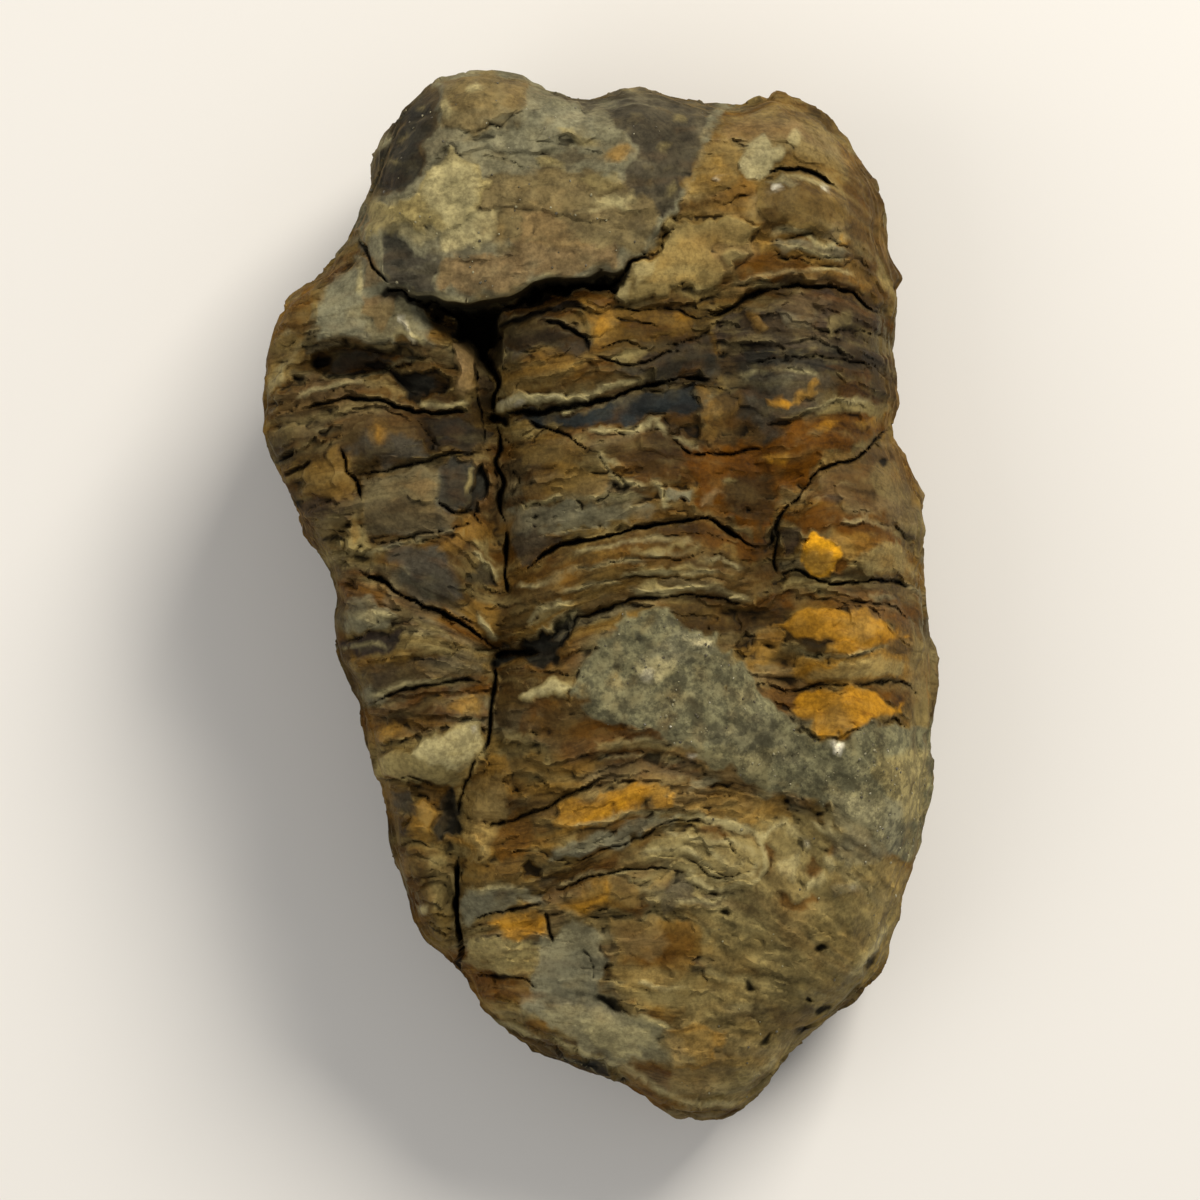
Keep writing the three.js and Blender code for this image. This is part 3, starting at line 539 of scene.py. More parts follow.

# %% [markdown]
# ## The upper back
# Behind the head the first rings have split into wedges. The blue-black one is a manganese skin on a bed
# that dips away, so its row sinks it, and the pale rim beside it is the next bed's broken end.

# %% Plates of the upper back
# The spar specks in this table are painted glints.
lay(
    """
umber 0.5 0 0.2: -5.5 16.4, 6 16.4, 7 12.4, 3 12.8, -0.5 13.6, -5.5 13.4
shale 0.85 0.1 0.6: -5.5 15.1, -3.2 15.4, -1.5 15, -0.6 14, -1 13.6, -3.2 13.8, -5.5 13.4
umber 0.95 0 0.8: -5.4 14.9, -3.2 15.2, -1.4 14.8, -0.9 14, -3 13.9, -5.4 13.7
ink 0.4 0 0.8: -5.2 14.6, -3.2 14.9, -1.6 14.5, -3 14, -5.2 13.9
rust 0.6 0 0.3: -5 16.2, -2 16.6, 0.8 16.4, 0.6 15.6, -2 15.4, -5.2 15.2
ochre 0.8 -0.1 0.8: -1 15.9, 1 15.8, 5.6 15.7, 5.2 14.6, 3 14.2, 0.6 14.1, -0.4 14.3
rust 0.7 0 0.8: 0.9 15.4, 2.4 15.2, 3.8 15, 3.6 14.7, 1.8 14.6, 1 14.9
umber 0.35 0 0.8: 0.6 15.2, 3 15.3, 5.6 15.3, 5 14.5, 2 14.2, 0.6 14.2
orange 0.5 0.05 0.9: 0.1 15 0.3 0.4 0
orange 0.7 0.05 0.9: 1.3 14.9 0.35 0.15 0
orange 0.5 0.05 0.9: 4.6 15.6 0.7 0.15 0
ochre 0.7 0.05 0.4: -3.6 13.7, -1.8 13.6, -1 12.9, -3 12.6
tan 0.95 0.1 1: 0.3 13.45, 1.2 13.8, 2.4 13.5, 2.2 13.2, 1.4 13.1
ochre 0.3 0 0.4: -5.5 13, -2 12.9, 2.6 12.6, 2 11.9, -1 11.4, -5.4 11.2
umber 0.6 0 0.4: -1.4 12.9, 1.4 13.1, 3.4 12.6, 2.4 11.9, -0.4 11.7
shale 0.9 0 0.7: 1.2 12.8, 6.2 14.4, 7 13.4, 6.6 12.2, 3.6 12
ink 0.75 0 0.7: 3 12.7, 5.8 13.9, 6.8 13.2, 6.4 12.4, 4 12.2
umber 0.3 0 0.5: 0 14.6, 3 14.2, 6.4 14.8, 7 12.6, 3 12.2
ink 0.6 0 0.7: 5 13.2, 6.2 14, 7 13.4, 6.8 12.8, 5.4 12.7
ink 0.35 0 0: 2.4 13.8, 6 14.4, 6.8 12.4, 5.6 10.4, 2.4 10.6
bone 1 0.2 1: -5.8 10.2, -5.3 11, -4.6 11.35, -4 11.05, -3.2 11.1, -2 11.4, -1.4 11.2, -0.4 11.4,
  -0.8 10.9, -2.4 10.55, -4 10.3
spar 0.5 0.03 1: -5.6 10.35, -5 10.8, -4.2 10.6, -4.4 10.35
spar 0.35 0.03 1: -3.8 10.6, -2.4 11.1, -2 10.9
ochre 0.7 0.03 1: -5.2 11, -4.6 11.35, -4.1 11.05, -4.6 10.95
night 1 -0.15 1: -4.8 9.8, -3.4 10.2, -1 10.5, 2 11.2, 5.8 11.9, 4.9 11.2, 5.5 10.6, 4.7 10, 4 9.8, 0 9.5,
  -3 9.5
night 0.5 0 1: -3 10, -1 10.3, 3 10.9, 2.6 10.2, -2 9.7
umber 0.6 0 0.5: 3.4 9.5, 5.4 10.4, 8 12.4, 8.4 9, 7.6 8.2, 4 8.2, 1 8.8
bone 0.9 0.1 1: -0.5 9.25, 1.5 9.3, 3.5 9.4, 3.3 9.2, 1.4 9.1, -0.3 9.1
umber 1 -0.3 1: 3.5 9.3, 5.4 9.35, 5.4 8.5, 4.6 8.9
tan 0.7 0.12 1: 3.6 8.9, 4.6 8.75, 5.4 8.3, 4.5 8.5
ochre 0.5 0.1 0.8: 5.4 11.8, 6.1 11.5, 6 10.8, 5.4 11
ochre 0.6 0.1 0.8: 6.4 11.2, 7.4 11.3, 8 10.4, 7 10.4, 6.2 10.1, 5.4 9.6, 5.2 10.2
ochre 0.4 0.1 0.8: 5.6 9.4, 6.2 9.6, 6.2 8.4, 5.5 8.5
umber 0.7 0 0.5: 1 8.9, 3.4 8.8, 4.6 8, 4.4 6.6, 1.2 6.9, 0.4 8
olive 0.6 0.1 0.6: -4.8 8.6, -2 9, -0.4 8, -1.4 7.2, -4.2 7.1
ochre 0.4 0.1 0.5: -4.6 6.5, -1.6 7, 0.4 6.4, 0.2 5.4, -2.4 5.2, -4.4 5.2
tan 0.5 0 0.7: -1 8.7 0.5 0.3 0
slate 0.75 0.05 0.7: -5 4.9, -1.6 5.2, 1.8 5.3, 3.4 4.9, 2.8 4.5, -0.6 4.2, -4.8 3.6
shale 0.75 -0.05 0.6: -5 4, -2.6 3.8, -1.8 3, -4.6 1.9
umber 0.5 0 0.5: 0.6 8.6, 3 8.6, 4.4 8, 6.4 8, 6.6 7, 3.4 6.8, 1.2 7.4
bone 0.8 0.15 0.9: 0 7.8, 0.4 7.2, 0.9 6.6, 0.8 7.2, 0.3 7.7
bone 0.8 0.15 0.9: 2.9 6.2, 3.3 5.9, 3.7 5.2, 3.2 5.4
slate 0.95 0.25 1: 3.7 5.2, 3.7 6, 5.1 6.1, 5.1 5.2
umber 0.7 0 0.3: 6.6 13.4, 9.4 13, 9.6 8.8, 9.2 4.6, 9 1.6, 6.8 2, 6.6 5, 7 9
rust 1 0 0.7: 4.6 8, 6 8.4, 9.4 8.6, 13 8.8, 12 7.4, 10 5.8, 8.8 3.2, 6.8 4.3, 5.4 4.6, 5.4 6.4
umber 0.85 0 0.6: 6.4 6.6, 9.4 6.8, 9.6 5, 8.8 4, 6.8 4.6
rose 0.9 0.15 0.9: 5.6 5, 6 5.8, 6.5 5.7, 6.2 4.7
tan 0.7 0.1 0.9: 6.9 6.4 0.35 0.2 0
"""
)

# %% [markdown]
# ## The middle of the back
# Here the rings show as thin leaves. They are a few tenths of a millimetre high, so long narrow plates,
# ledges and laminae are enough.

# %% Plates of the middle
lay(
    """
ochre 0.2 0.1 0.7: -4.6 1.2, -1 3, 3 3.9, 6 4, 8.9 2.4, 9 0.4, 6 0, 2 0, -1 -0.8, -4.4 0.2
rust 0.85 0 0.4: 2.6 3.6, 6.4 3.9, 8.8 2.6, 7.6 2.3, 5 3.1
umber 0.6 0 0.4: -4.8 0.8, -2.6 2.2, 0.6 3.4, 4.6 4, 8.6 3, 6 3.2, 4.6 3.3, 0.4 2.7, -3 1.4
ochre 0.6 0.05 0.6: 0.3 2.6 0.8 0.35 10
umber 0.3 0 0.5: -4.6 1.2, -1 3, 3 3.9, 6 4, 8.9 2.4, 9 0.4, 6 0, 2 0, -1 -0.8, -4.4 0.2
rust 0.4 0 0.3: -5 1.2, -3.2 1.8, -1 1.6, -1.6 0.2, -4.4 -0.6
tan 0.75 0.08 0.9: 2 2.75, 4.6 2.95, 4.4 2.65, 2.2 2.5
tan 0.7 0.08 0.9: 2.4 1.7, 5 1.8, 7 1.5, 5 1.5, 2.6 1.45
tan 0.8 0.12 0.9: 1.8 0.7, 4 0.85, 6.4 0.85, 5.4 0.5, 2.4 0.45
umber 0.8 0 0.4: -5.4 0.6, -4.5 1, -3.7 0, -3.9 -1.4, -4.8 -2.2, -5.5 -2.2
olive 0.9 0 0.6: 6.2 2.6, 8.6 2.4, 8.8 0.4, 6.8 0.4
umber 0.75 0 0.6: 5.8 2.2, 8.6 2.4, 8.9 0.4, 6.4 0.5
umber 0.9 0 0.4: 8.4 3, 9.5 4.4, 9.7 1.4, 10.8 0, 9.4 -1.6, 7.6 -2.6, 7.2 -1, 8.7 0.4
umber 0.75 -0.1 0.4: 2.8 -0.3, 6 -0.1, 8.8 -0.4, 8.6 -1.8, 7.4 -2.6, 6 -1.9, 4 -1.2
ochre 1 0.2 0.8: -3.9 -1.5, -3.5 -0.6, -2.4 -0.1, -1.2 -0.2, -1.8 -0.8, -3 -1.5
bone 0.7 0.08 1: -3.9 -1.5, -3.5 -0.6, -2.8 -0.2, -3 -0.5, -3.5 -1.1
bone 0.7 0.08 1: -3.2 -1.65, -1.9 -0.95, -1.1 -0.4, -1.8 -0.7, -3.1 -1.4
ink 0.8 -0.3 1: 9.8 4.3, 9.5 3.2, 8.7 2.6, 9.1 3.2, 9.4 4
ink 1 -0.7 1: -5.7 -3.5, -5.4 -2.4, -3.6 -2.1, -2.2 -1.2, -1.4 -1, -1.7 -2.1, -2.7 -3.3, -4.2 -3.3
shale 0.6 0.5 1: -3 -2.3, -1.6 -1.1, -1.9 -2, -2.4 -2.5
umber 0.8 -0.1 0.5: -5.4 -3.6, -2.6 -3.6, -1.2 -4, -1.8 -5.2, -3.4 -6.4, -4 -7.6, -5.6 -7
tan 1 0.3 1: -4.3 -5.6, -3.6 -4.6, -1.9 -4.2, -1.6 -4.6, -2.4 -5.2, -3.4 -5.9
bone 0.6 0.05 1: -3.7 -4.9, -2.2 -4.5, -2.8 -5.1
tan 0.8 0.05 1: -3.8 -1.2, -3.3 -0.4, -2.4 0, -1.2 -0.1, -1.9 -0.6, -3 -1.1
bone 0.9 0.05 1: -4.2 -5.4, -3.6 -4.7, -2.2 -4.4, -1.7 -4.6, -2.5 -5.1, -3.5 -5.6
"""
)

# %% [markdown]
# ## The left side
# The left rib field has broken into blocks. Each block is a plate, and chips of slate, ochre and bone lie
# over it.

# %% Plates of the left side
# Here the ink and umber rows that sink into the hollows are dark mineral and painted shade, and the spar and
# small bone specks on the cheek are painted glints.
lay(
    """
umber 0.45 0 0: -18.8 12, -16 14.4, -6 13.6, -5.6 4, -8 2, -14 2, -17 5
slate 1 0.15 0.8: -15.6 14.3, -14.8 17, -13.2 18.8, -12.2 17.4, -10.6 16.4, -9 15.4, -9.3 14, -12 14.2
slate 0.9 0.1 0.9: -11.4 14.4, -10.6 15.6, -9.5 15.4, -9.2 14.1
bone 0.9 0.12 1: -10.7 14.8, -10.4 15, -9.6 14.2, -9.8 14
bone 0.6 0.1 0.9: -13.2 17.2 0.2 0.6 10
rose 0.85 0.15 0.8: -12.9 16.6, -11 16.5, -11.4 15.4, -12 14.9, -12.9 15.6
rose 0.6 0.1 0.8: -13.2 18.7, -12.6 18.4, -12 17.3, -12.8 17.4
ochre 0.6 0 0.3: -18.8 11, -18.4 14, -17.4 16.2, -15.6 17.4, -15.8 15.4, -16.4 13.2, -17.2 11.8
rust 0.6 0 0.4: -17.4 16.2, -16 17.2, -15.7 16.2, -17 15.4
tan 0.4 0 0.3: -18.4 11.6, -18 14, -16.9 14.8, -16.4 13.2, -17.2 11.8
bone 0.6 0.1 0.7: -17.3 14.6 0.3 0.2 20
bone 0.5 0.05 0.7: -18.6 11.2, -18.2 12, -16.8 13.2, -17.4 11.9
umber 1 -0.8 0.5: -15.9 13.4, -13.8 14.1, -12 13.8, -10 13.7, -9.2 13.4, -11 12.6, -13 11.9, -15.6 12.3
rust 0.5 0.1 0.2: -14.6 13, -12.4 13.2, -10 13.1, -11.6 12.7, -14 12.4
umber 1 -0.8 0.6: -11.9 12.5, -9.8 12.5, -8.3 12.3, -8.4 11.6, -9.4 11.2, -10.3 10.9, -10.8 11.6
ink 0.7 0 0.6: -10.8 11.9, -9.8 12.1, -9 11.8, -9.8 11.3, -10.3 11.2
rose 0.6 0.2 1: -16.8 10.6, -15 11.1, -12.8 11.6, -12.9 12, -14.6 11.9, -16.4 11.3
umber 0.4 0 1: -16.8 10.5, -15 11, -12.8 11.5, -11.4 11.3, -12.9 11.8, -14.6 11.6, -16.4 11
tan 0.3 0.1 0.9: -12.8 11.9, -11.4 11.6, -10.2 10.6, -11.4 11.1
rose 0.95 0.35 0.9: -8 12, -7.9 14.1, -7.4 14.3, -6.9 13.4, -7.1 11.2, -7.9 11.3
umber 0.9 -0.3 0.5: -6.9 13.6, -6 13.8, -5.9 10.4, -6.9 10.6
umber 0.6 0 0.7: -10.6 11.2, -8 11.4, -7.2 10.4, -9.8 10.3
tan 0.4 0.1 0.9: -9.8 10.75, -7.2 10.8, -7 10.55, -9.6 10.55
rose 0.3 0 0.6: -14.2 8, -13.6 10.2, -11.6 10.4, -9.8 9.3, -8.8 8.2, -11 7.5, -13.4 7.2
umber 0.7 0 0.6: -14.2 8, -13.4 10, -11.6 10.2, -9.8 9.4, -8.8 8.2, -12 7.4
shale 0.9 0 0.6: -14 8, -12.6 9.4, -10 8.8, -9 8, -12 7.4
orange 0.6 0.05 0.8: -11.9 8.9 0.3 0.5 0
ochre 0.3 0 0.8: -12 9.1 0.6 0.8 0
shale 0.9 -0.1 0.6; umber 0.5 0 0.6: -9.8 10, -7.4 9.9, -6.4 9.2, -6.6 8.2, -8.8 8.2
umber 0.9 -0.2 0.8: -10.8 10.6, -9.6 10.2, -8.6 8.3, -9.2 8.3, -10.2 9.6
ink 0.45 0 0.6: -9 9.8, -7.4 9.8, -6.6 9, -7 8.4, -8.8 8.5
olive 0.5 0.2 0.7; ochre 0.25 0 0.7: -16.6 6.6, -15.6 7.6, -14.4 8.3, -13.8 7.4, -13.3 6.3, -14 5.5, -16.2 6
plum 0.55 0 0.4: -17 6, -14.2 5.4, -13.8 4.8, -15.4 2.6, -16.6 4
shale 1 -0.1 0.8: -9.2 7.2, -7 7.7, -6.5 7, -7 5.4, -7.9 4.9, -9 5.4
ink 0.7 0 0.8: -9.2 7, -7 7.6, -6.6 7, -7.2 5.4, -8.4 5.2
umber 0.3 0 0.8: -8.8 6.8, -7.4 7.2, -7 6.2, -7.8 5.2
ink 1 -0.6 1: -7.4 5, -6.9 6.3, -6.1 7.2, -5.9 6.6, -6.6 5
tan 0.7 0.1 1: -7.5 6, -7.1 6.9, -6.6 7.2, -6.9 6.6, -7.2 5.9
slate 0.45 0.1 0.8: -13 6.6, -11 7, -9 7.2, -8.8 5.4, -7.8 4.7, -8.4 3.9, -11 3.2, -12.8 3.6
shale 0.7 0 0.8: -12.8 5.4, -10.6 5.4, -8.8 5, -8.6 4, -11 3.3, -12.8 3.6
rose 0.7 0.05 0.8: -11.2 6.2, -9.8 6.8, -9 6, -9.6 5.6
tan 0.4 0.25 1: -13.9 4, -13.4 5.1, -13 4.4, -12.7 3.2, -13.4 2.7, -13.9 2.6
ochre 0.7 0 1: -13.8 3.8, -13.4 4.7, -13.1 3.4, -13.6 2.8
umber 0.4 0 0.6: -13.2 3, -8.6 3.6, -7.4 2.4, -7.4 -0.6, -9.6 -0.2, -12.6 1.6
shale 0.95 0 0.6: -12.4 2.8, -8.4 2.8, -7.6 0.2, -9.8 0
ochre 0.5 0.1 0.5: -9 2.4, -8 4, -6.4 4.7, -5.8 3.2, -7.2 3
bone 0.8 0.15 1: -7 2.5, -6.5 2.4, -5.6 1.1, -5.9 1.3
tan 0.7 0.1 0.8: -6.9 3, -6.2 3.4, -5.8 1.9, -6.2 2.2
ink 0.8 -0.2 0.8: -7.2 2, -6.6 1.9, -5.7 0.8, -6.4 0.4, -7.4 1
ochre 0.6 0.05 0.5: -7.4 -0.4, -6.6 0, -5.4 -0.6, -5.8 -2, -6.6 -1.7
bone 0.8 0.15 1: -6.5 -0.9, -6 -1.2, -5.8 -1.9, -6.3 -1.6
slate 0.8 0.1 0.5: -14.8 -1.6, -13.6 0, -12 -0.2, -10.6 -0.8, -12 -1.5
bone 0.5 0.1 0.8: -13.4 -0.8, -12.2 -0.6, -11 -0.9, -12.6 -1.1
umber 0.85 0 0.2: -15.4 0, -14.6 -3, -13.8 -8, -12.4 -10, -12.9 -7, -13.4 -4, -14.2 0
plum 1 -0.1 0.7: -14.6 -2.6, -13 -1.7, -10.3 -1.6, -11.4 -2.6, -13.2 -3.2
ink 0.4 0 0.7: -13.4 -2.4, -11.8 -1.8, -10.8 -2, -12.2 -2.8
shale 0.6 0 0.5: -12.8 -3.8, -9 -3, -6 -2.8, -6 -4, -9 -4.4, -12.8 -5
slate 0.7 0.1 0.6: -13.6 -5.2, -12.8 -4.4, -11.6 -4.8, -12.6 -5.8
rust 0.6 0 0.2: -13.4 -6.4, -11.4 -5.3, -8.6 -4.6, -6.1 -4.4, -6 -6, -8.2 -6.5, -10.6 -7.3, -12.8 -8
umber 1 -0.1 0.6: -12 -6.2, -9.6 -5.4, -8.2 -5.4, -9.8 -6.4, -12 -7
ochre 0.85 0.1 0.4: -8.4 -5.2, -7 -5, -6.3 -5.4, -7.2 -6, -8.4 -5.9
ochre 0.8 0.05 0.4: -12.8 -7, -11.6 -6.4, -10.8 -6.8, -12.4 -7.8
tan 1 0.3 1: -12.8 -9.6, -11.8 -8.4, -10.2 -8, -9.2 -7.1, -6.4 -6.5, -6.1 -8, -7 -9.4, -7.8 -10, -10 -9.6
bone 1 0.05 1: -10.2 -7.9, -9 -7.2, -6.6 -6.7, -6.3 -8, -7.6 -9.2, -9.6 -9
olive 0.4 0 1: -8.6 -9.7, -7.4 -9.6, -6.5 -8.4, -7.6 -8.6
spar 0.8 0.04 1: -6.8 -7.1 0.16 0.14 0
umber 0.35 -0.1 0.2: -12.4 -10, -10.4 -10.2, -9.8 -12.6, -10.8 -14, -10.4 -17, -12.6 -14
ink 0.9 -0.3 1: -8.8 -10.6, -7.7 -10.3, -7.5 -11.6, -7.7 -13.1, -8.6 -13.2
ochre 0.95 0.2 0.9: -10.3 -11.2, -9.4 -10.6, -8.9 -11.4, -8.9 -13, -9.4 -13.5, -10.4 -13.2
tan 0.15 0 0.9: -10 -11.4, -9.5 -11, -9.1 -12.4, -9.4 -13
shale 0.8 -0.1 0.8: -11.4 -10.7, -10.2 -10.5, -10 -11.6, -11 -11.9
umber 0.8 -0.2 0.4: -9.8 -15, -8.4 -15.2, -8.2 -17, -9.2 -16.8
bone 0.8 0.2 1: -9.8 -17.1 0.3 0.4 0
rose 0.6 0.1 0.8: -11 -14.6 0.4 0.5 0
tan 0.5 0.1 0.8: -9 -14.2 0.5 0.3 0
olive 0.7 0 0.4: -9.8 -18, -8.4 -17.6, -8.2 -19.8, -9.4 -19.6
slate 0.3 0 0: -11.6 1.6, -8.8 1.2, -8.4 -1.2, -11.4 -1.4
tan 0.3 0 0: -15.6 4.6, -12.8 4.4, -12.6 1.8, -15.2 1.6
ink 0.75 0 1: -14.9 13.4, -12.6 13.7, -11.2 13.2, -12.4 12.6, -14.6 12.6
ink 0.85 0 1: -11.6 12.4, -9.6 12.4, -8.9 11.9, -9.8 11.3, -10.6 11.3
tan 0.25 0 0: -13.4 16.2, -10.4 16, -9.4 14.2, -12.4 14.4
spar 0.55 0.03 1: -11 15.1, -10.7 15.2, -9.6 14.1, -9.8 13.9
ink 0.4 0 0: -6.8 13.6, -6 13.4, -5.8 10.6, -6.8 10.6
olive 0.3 0 0: -13.2 7, -9.2 7.2, -8.8 3.8, -12.8 3.2
tan 0.3 0 0: -9.6 -13.4, -7.9 -13.6, -8 -17.4, -9.4 -17.2
"""
)

# %% [markdown]
# ## The right side
# The ribs on the right have lost their shell. Bright limonite fills the hollows, so orange and brass lie
# over rust and umber, and dark rows sink to stand for grooves, as dark mineral and painted shade.

# %% Plates of the right side
lay(
    """
plum 0.85 0 0.2: 6.6 15, 8.4 16.2, 12 16.8, 15.6 16.2, 16.6 13, 14 12.6, 10 12.6, 7.4 12.6
ink 0.75 0 0.2: 8 13.6, 12 13.8, 15.4 13.4, 14.6 12.5, 11 12.7, 8 12.6
ochre 0.75 0.1 0.5: 8 15.5, 9 15.6, 9.3 14.9, 8.6 14.4, 8 14.8
rose 0.3 0 0.4: 9.6 16.2, 12.6 16.5, 12.4 15.6, 9.8 15.2
tan 0.7 0.1 0.8: 12.4 14.6, 13.2 15.7, 14 15.5, 13.8 14.8
tan 0.5 0 0.3: 14.2 14.6, 16.2 14.8, 16.4 13.4, 14.8 13.8
ink 0.7 0 0.5: 7.6 12.6, 10 12.9, 13 12.5, 12.6 10.8, 9 9, 7.8 10
shale 0.6 0 0.6: 8 12.3, 10 12.7, 12.6 12.3, 11.6 10.6, 9 9.2, 8 10.2
slate 0.3 0.05 0.6: 8.6 12, 10.6 12.1, 10.2 11.5, 8.8 11.5
orange 0.9 0.12 0.8: 9 10.8, 9.6 11.1, 10.6 11, 10.3 10.5, 9.4 10.5
ochre 0.9 0.12 0.8: 10.5 11, 11.6 12, 11.9 11.5, 11 11
umber 0.55 0 0.3: 12.6 16.6, 16.6 16, 16.6 9.8, 13 10.4
rust 0.8 0 0.3: 12.6 12, 14.8 12.2, 15 11.2, 13.2 10.9
tan 0.75 0.1 0.6: 11.2 10.3, 13.2 11, 16 11.2, 16.2 10.4, 13.4 10.2
rust 0.95 0 0.2: 8 8.4, 10 9.4, 12 10.2, 16 10.3, 15.8 9.6, 14.4 8.6, 12.4 7.6, 10 7.4, 8 7
orange 0.55 0.08 0.6: 11.4 9.2, 12 9.9, 13 9.8, 12.6 9
ochre 0.85 0.1 0.5: 13.8 9.7, 15.6 10.3, 15.4 9.6, 14.2 9
orange 0.7 0.05 0.6: 9 8.1, 10.6 8.4, 10.2 7.7, 9.2 7.6
rose 0.4 0.1 0.5: 11.6 6.8, 13.6 7.8, 15.2 8.8, 16.8 9, 18 4, 16 4.2, 13 5.2
umber 0.4 0 0.4: 11.4 6.4, 12.6 7.3, 15 8.6, 15.4 6.4, 14.6 5.2, 12 5
umber 0.5 0 0.4: 12.4 7, 15.2 8.6, 16.8 8.8, 18 4.4, 15.6 4.4
tan 0.3 0.05 0.6: 14.6 7.4, 16.6 7.8, 17.4 5.4, 15 5.6
plum 0.7 0 0.4: 11.8 5.8, 13.4 5.9, 12.8 5.2, 11.8 5.2
rust 1 0.05 0.8: 10 4.6, 13 5.2, 15.6 4.6, 16.6 3, 15.4 3.2, 13.4 3.6, 11 3.6
umber 0.5 0 0.8: 9.9 4.4, 13 5.2, 15.6 4.6, 16.6 3.4, 13 4, 11 3.6
rust 0.5 0 0.8: 10.4 4.4, 13 5, 15 4.6, 13 3.8, 11 3.7
plum 0.8 -0.1 0.6: 9.9 4, 10.8 3.8, 10.7 2.4, 10 2.2
ochre 0.6 0 0.7: 12.8 3.6, 14.6 4, 14.8 3, 13.8 2, 12.8 2.2
rust 0.5 0 0.7: 13.4 3, 14.6 3.6, 14.9 2.8, 13.9 2.2
brass 1 0.15 1: 10.6 1.9, 11.2 2.5, 11.4 3.4, 12 3.5, 12.6 3, 13 2.6, 12.6 2, 12.4 1.3, 11.7 1.4
tan 0.4 0.05 1: 10.8 2, 11.6 2.5, 12.4 2.2, 12.3 1.5, 11.7 1.6
rust 0.9 -0.1 1: 13 1.9 0.45 0.35 40
tan 0.65 0.1 0.5: 14.2 2.4, 15.6 3.4, 17 2.4, 17.6 1.2, 14.6 1.4
ochre 0.5 0 0.4: 15.8 1.9 0.5 0.4 0
tan 0.7 0.1 0.8: 10.2 1, 11.2 1.1, 11.2 0.7, 10.4 0.6
rust 0.6 0 0.3: 9 0.4, 11 0.4, 16 0.2, 17.6 -0.8, 16 -1, 13 -0.2, 10.4 -0.6
orange 0.75 0.2 0.6: 9.8 -1.5, 10.9 -0.7, 13 -0.3, 15.4 -0.8, 16.8 -1.6, 15.4 -2.2, 13.4 -3, 12 -3,
  12.8 -2.3, 10.6 -2
tan 0.25 0.04 0.8: 13.4 -1.3, 14.2 -1, 16 -1.6, 14.4 -2.1
ochre 0.6 -0.03 0.8: 13 -0.9, 14.2 -1.2, 15.6 -0.9, 14.4 -0.6
umber 0.9 -0.05 0.8: 10.4 -2.2, 11.2 -1.9, 12.2 -2, 13.3 -2.2, 12.4 -2.5, 11.6 -2.9, 10.8 -2.8
shale 0.4 0 0.8: 10.8 -2.3, 12 -2.1, 12.6 -2.3, 11.4 -2.7
ochre 1 0.2 0.8: 10.6 -4.2, 11 -3.2, 12.4 -3, 14.8 -2.7, 17 -2.8, 17.6 -4.4, 14.6 -4.5
orange 0.5 0.05 0.8: 11 -4, 12 -3.1, 15.4 -2.9, 16.2 -3.8, 13 -4.2
tan 0.35 0 0.8: 12.6 -3.6, 13 -3.1, 15 -2.9, 16.8 -3.2, 16.6 -4.1, 13 -4.3
orange 0.45 0.05 0.8: 10.8 -3.9, 11.6 -3.2, 13 -3.1, 12.6 -3.9
tan 0.65 0 0.8: 11.4 -4.1, 12.4 -3.3, 15 -3.1, 16.6 -3.3, 16.6 -4.2, 13 -4.4
ochre 0.7 0.1 0.5: 8.4 -2.8, 8.8 -1.8, 9.8 -1.5, 10.4 -2.4, 9.6 -3.6, 8.6 -3.4
umber 0.9 -0.4 0.6: 7.2 -2.9, 7.8 -2, 8.5 -1.8, 8.3 -3.2
rust 0.55 0 0.3: 8.4 -4.7, 10.6 -4.8, 10.8 -6, 9.4 -6
orange 0.95 0.15 0.7: 10.4 -5.9, 10.8 -5, 13 -4.9, 15 -5.2, 16.6 -5.7, 15.2 -6.5, 13.4 -7.2, 12 -7.5,
  11.2 -6.6
ochre 0.7 0 0.7: 12.2 -6.4, 13 -5.7, 13.6 -6.6, 12.8 -7.2
rust 0.7 0 0.3: 14.6 -4.8, 16.6 -4.8, 18 -5.6, 16.4 -5.6
tan 0.5 0 0.5: 17 -1, 18.6 -3, 18.6 -8, 17.4 -8
ink 0.35 0 0: 6.8 13.4, 9.6 13.4, 9.6 10.6, 6.8 10.6
ink 0.35 0 0: 12.6 13.6, 15.6 13.4, 15.6 11, 12.6 10.8
ink 0.3 0 0: 6.8 15.6, 9 16, 14 15.6, 15.4 13.6, 11 13.2, 7.2 13.4
slate 0.35 0.05 0.5: 9.6 15.4, 12 15.6, 11.6 15, 9.8 14.9
rust 0.5 0 0: 9.6 7, 11.6 7.4, 12.2 5, 10 4.4
rust 0.35 0 0: 11 4.4, 13 4.9, 14.8 4.2, 13.6 3.8, 11.6 3.8
ochre 0.3 0 1: 10.7 2.1, 11.5 2.9, 12.2 2.4, 12.3 1.6, 11.6 1.4
"""
)

# %% [markdown]
# ## The matrix and the tail
# A grey tongue of the mud that buried the animal crosses the back. It is one calm plate, which hides every
# flake. Behind it the tail's beds curve round.

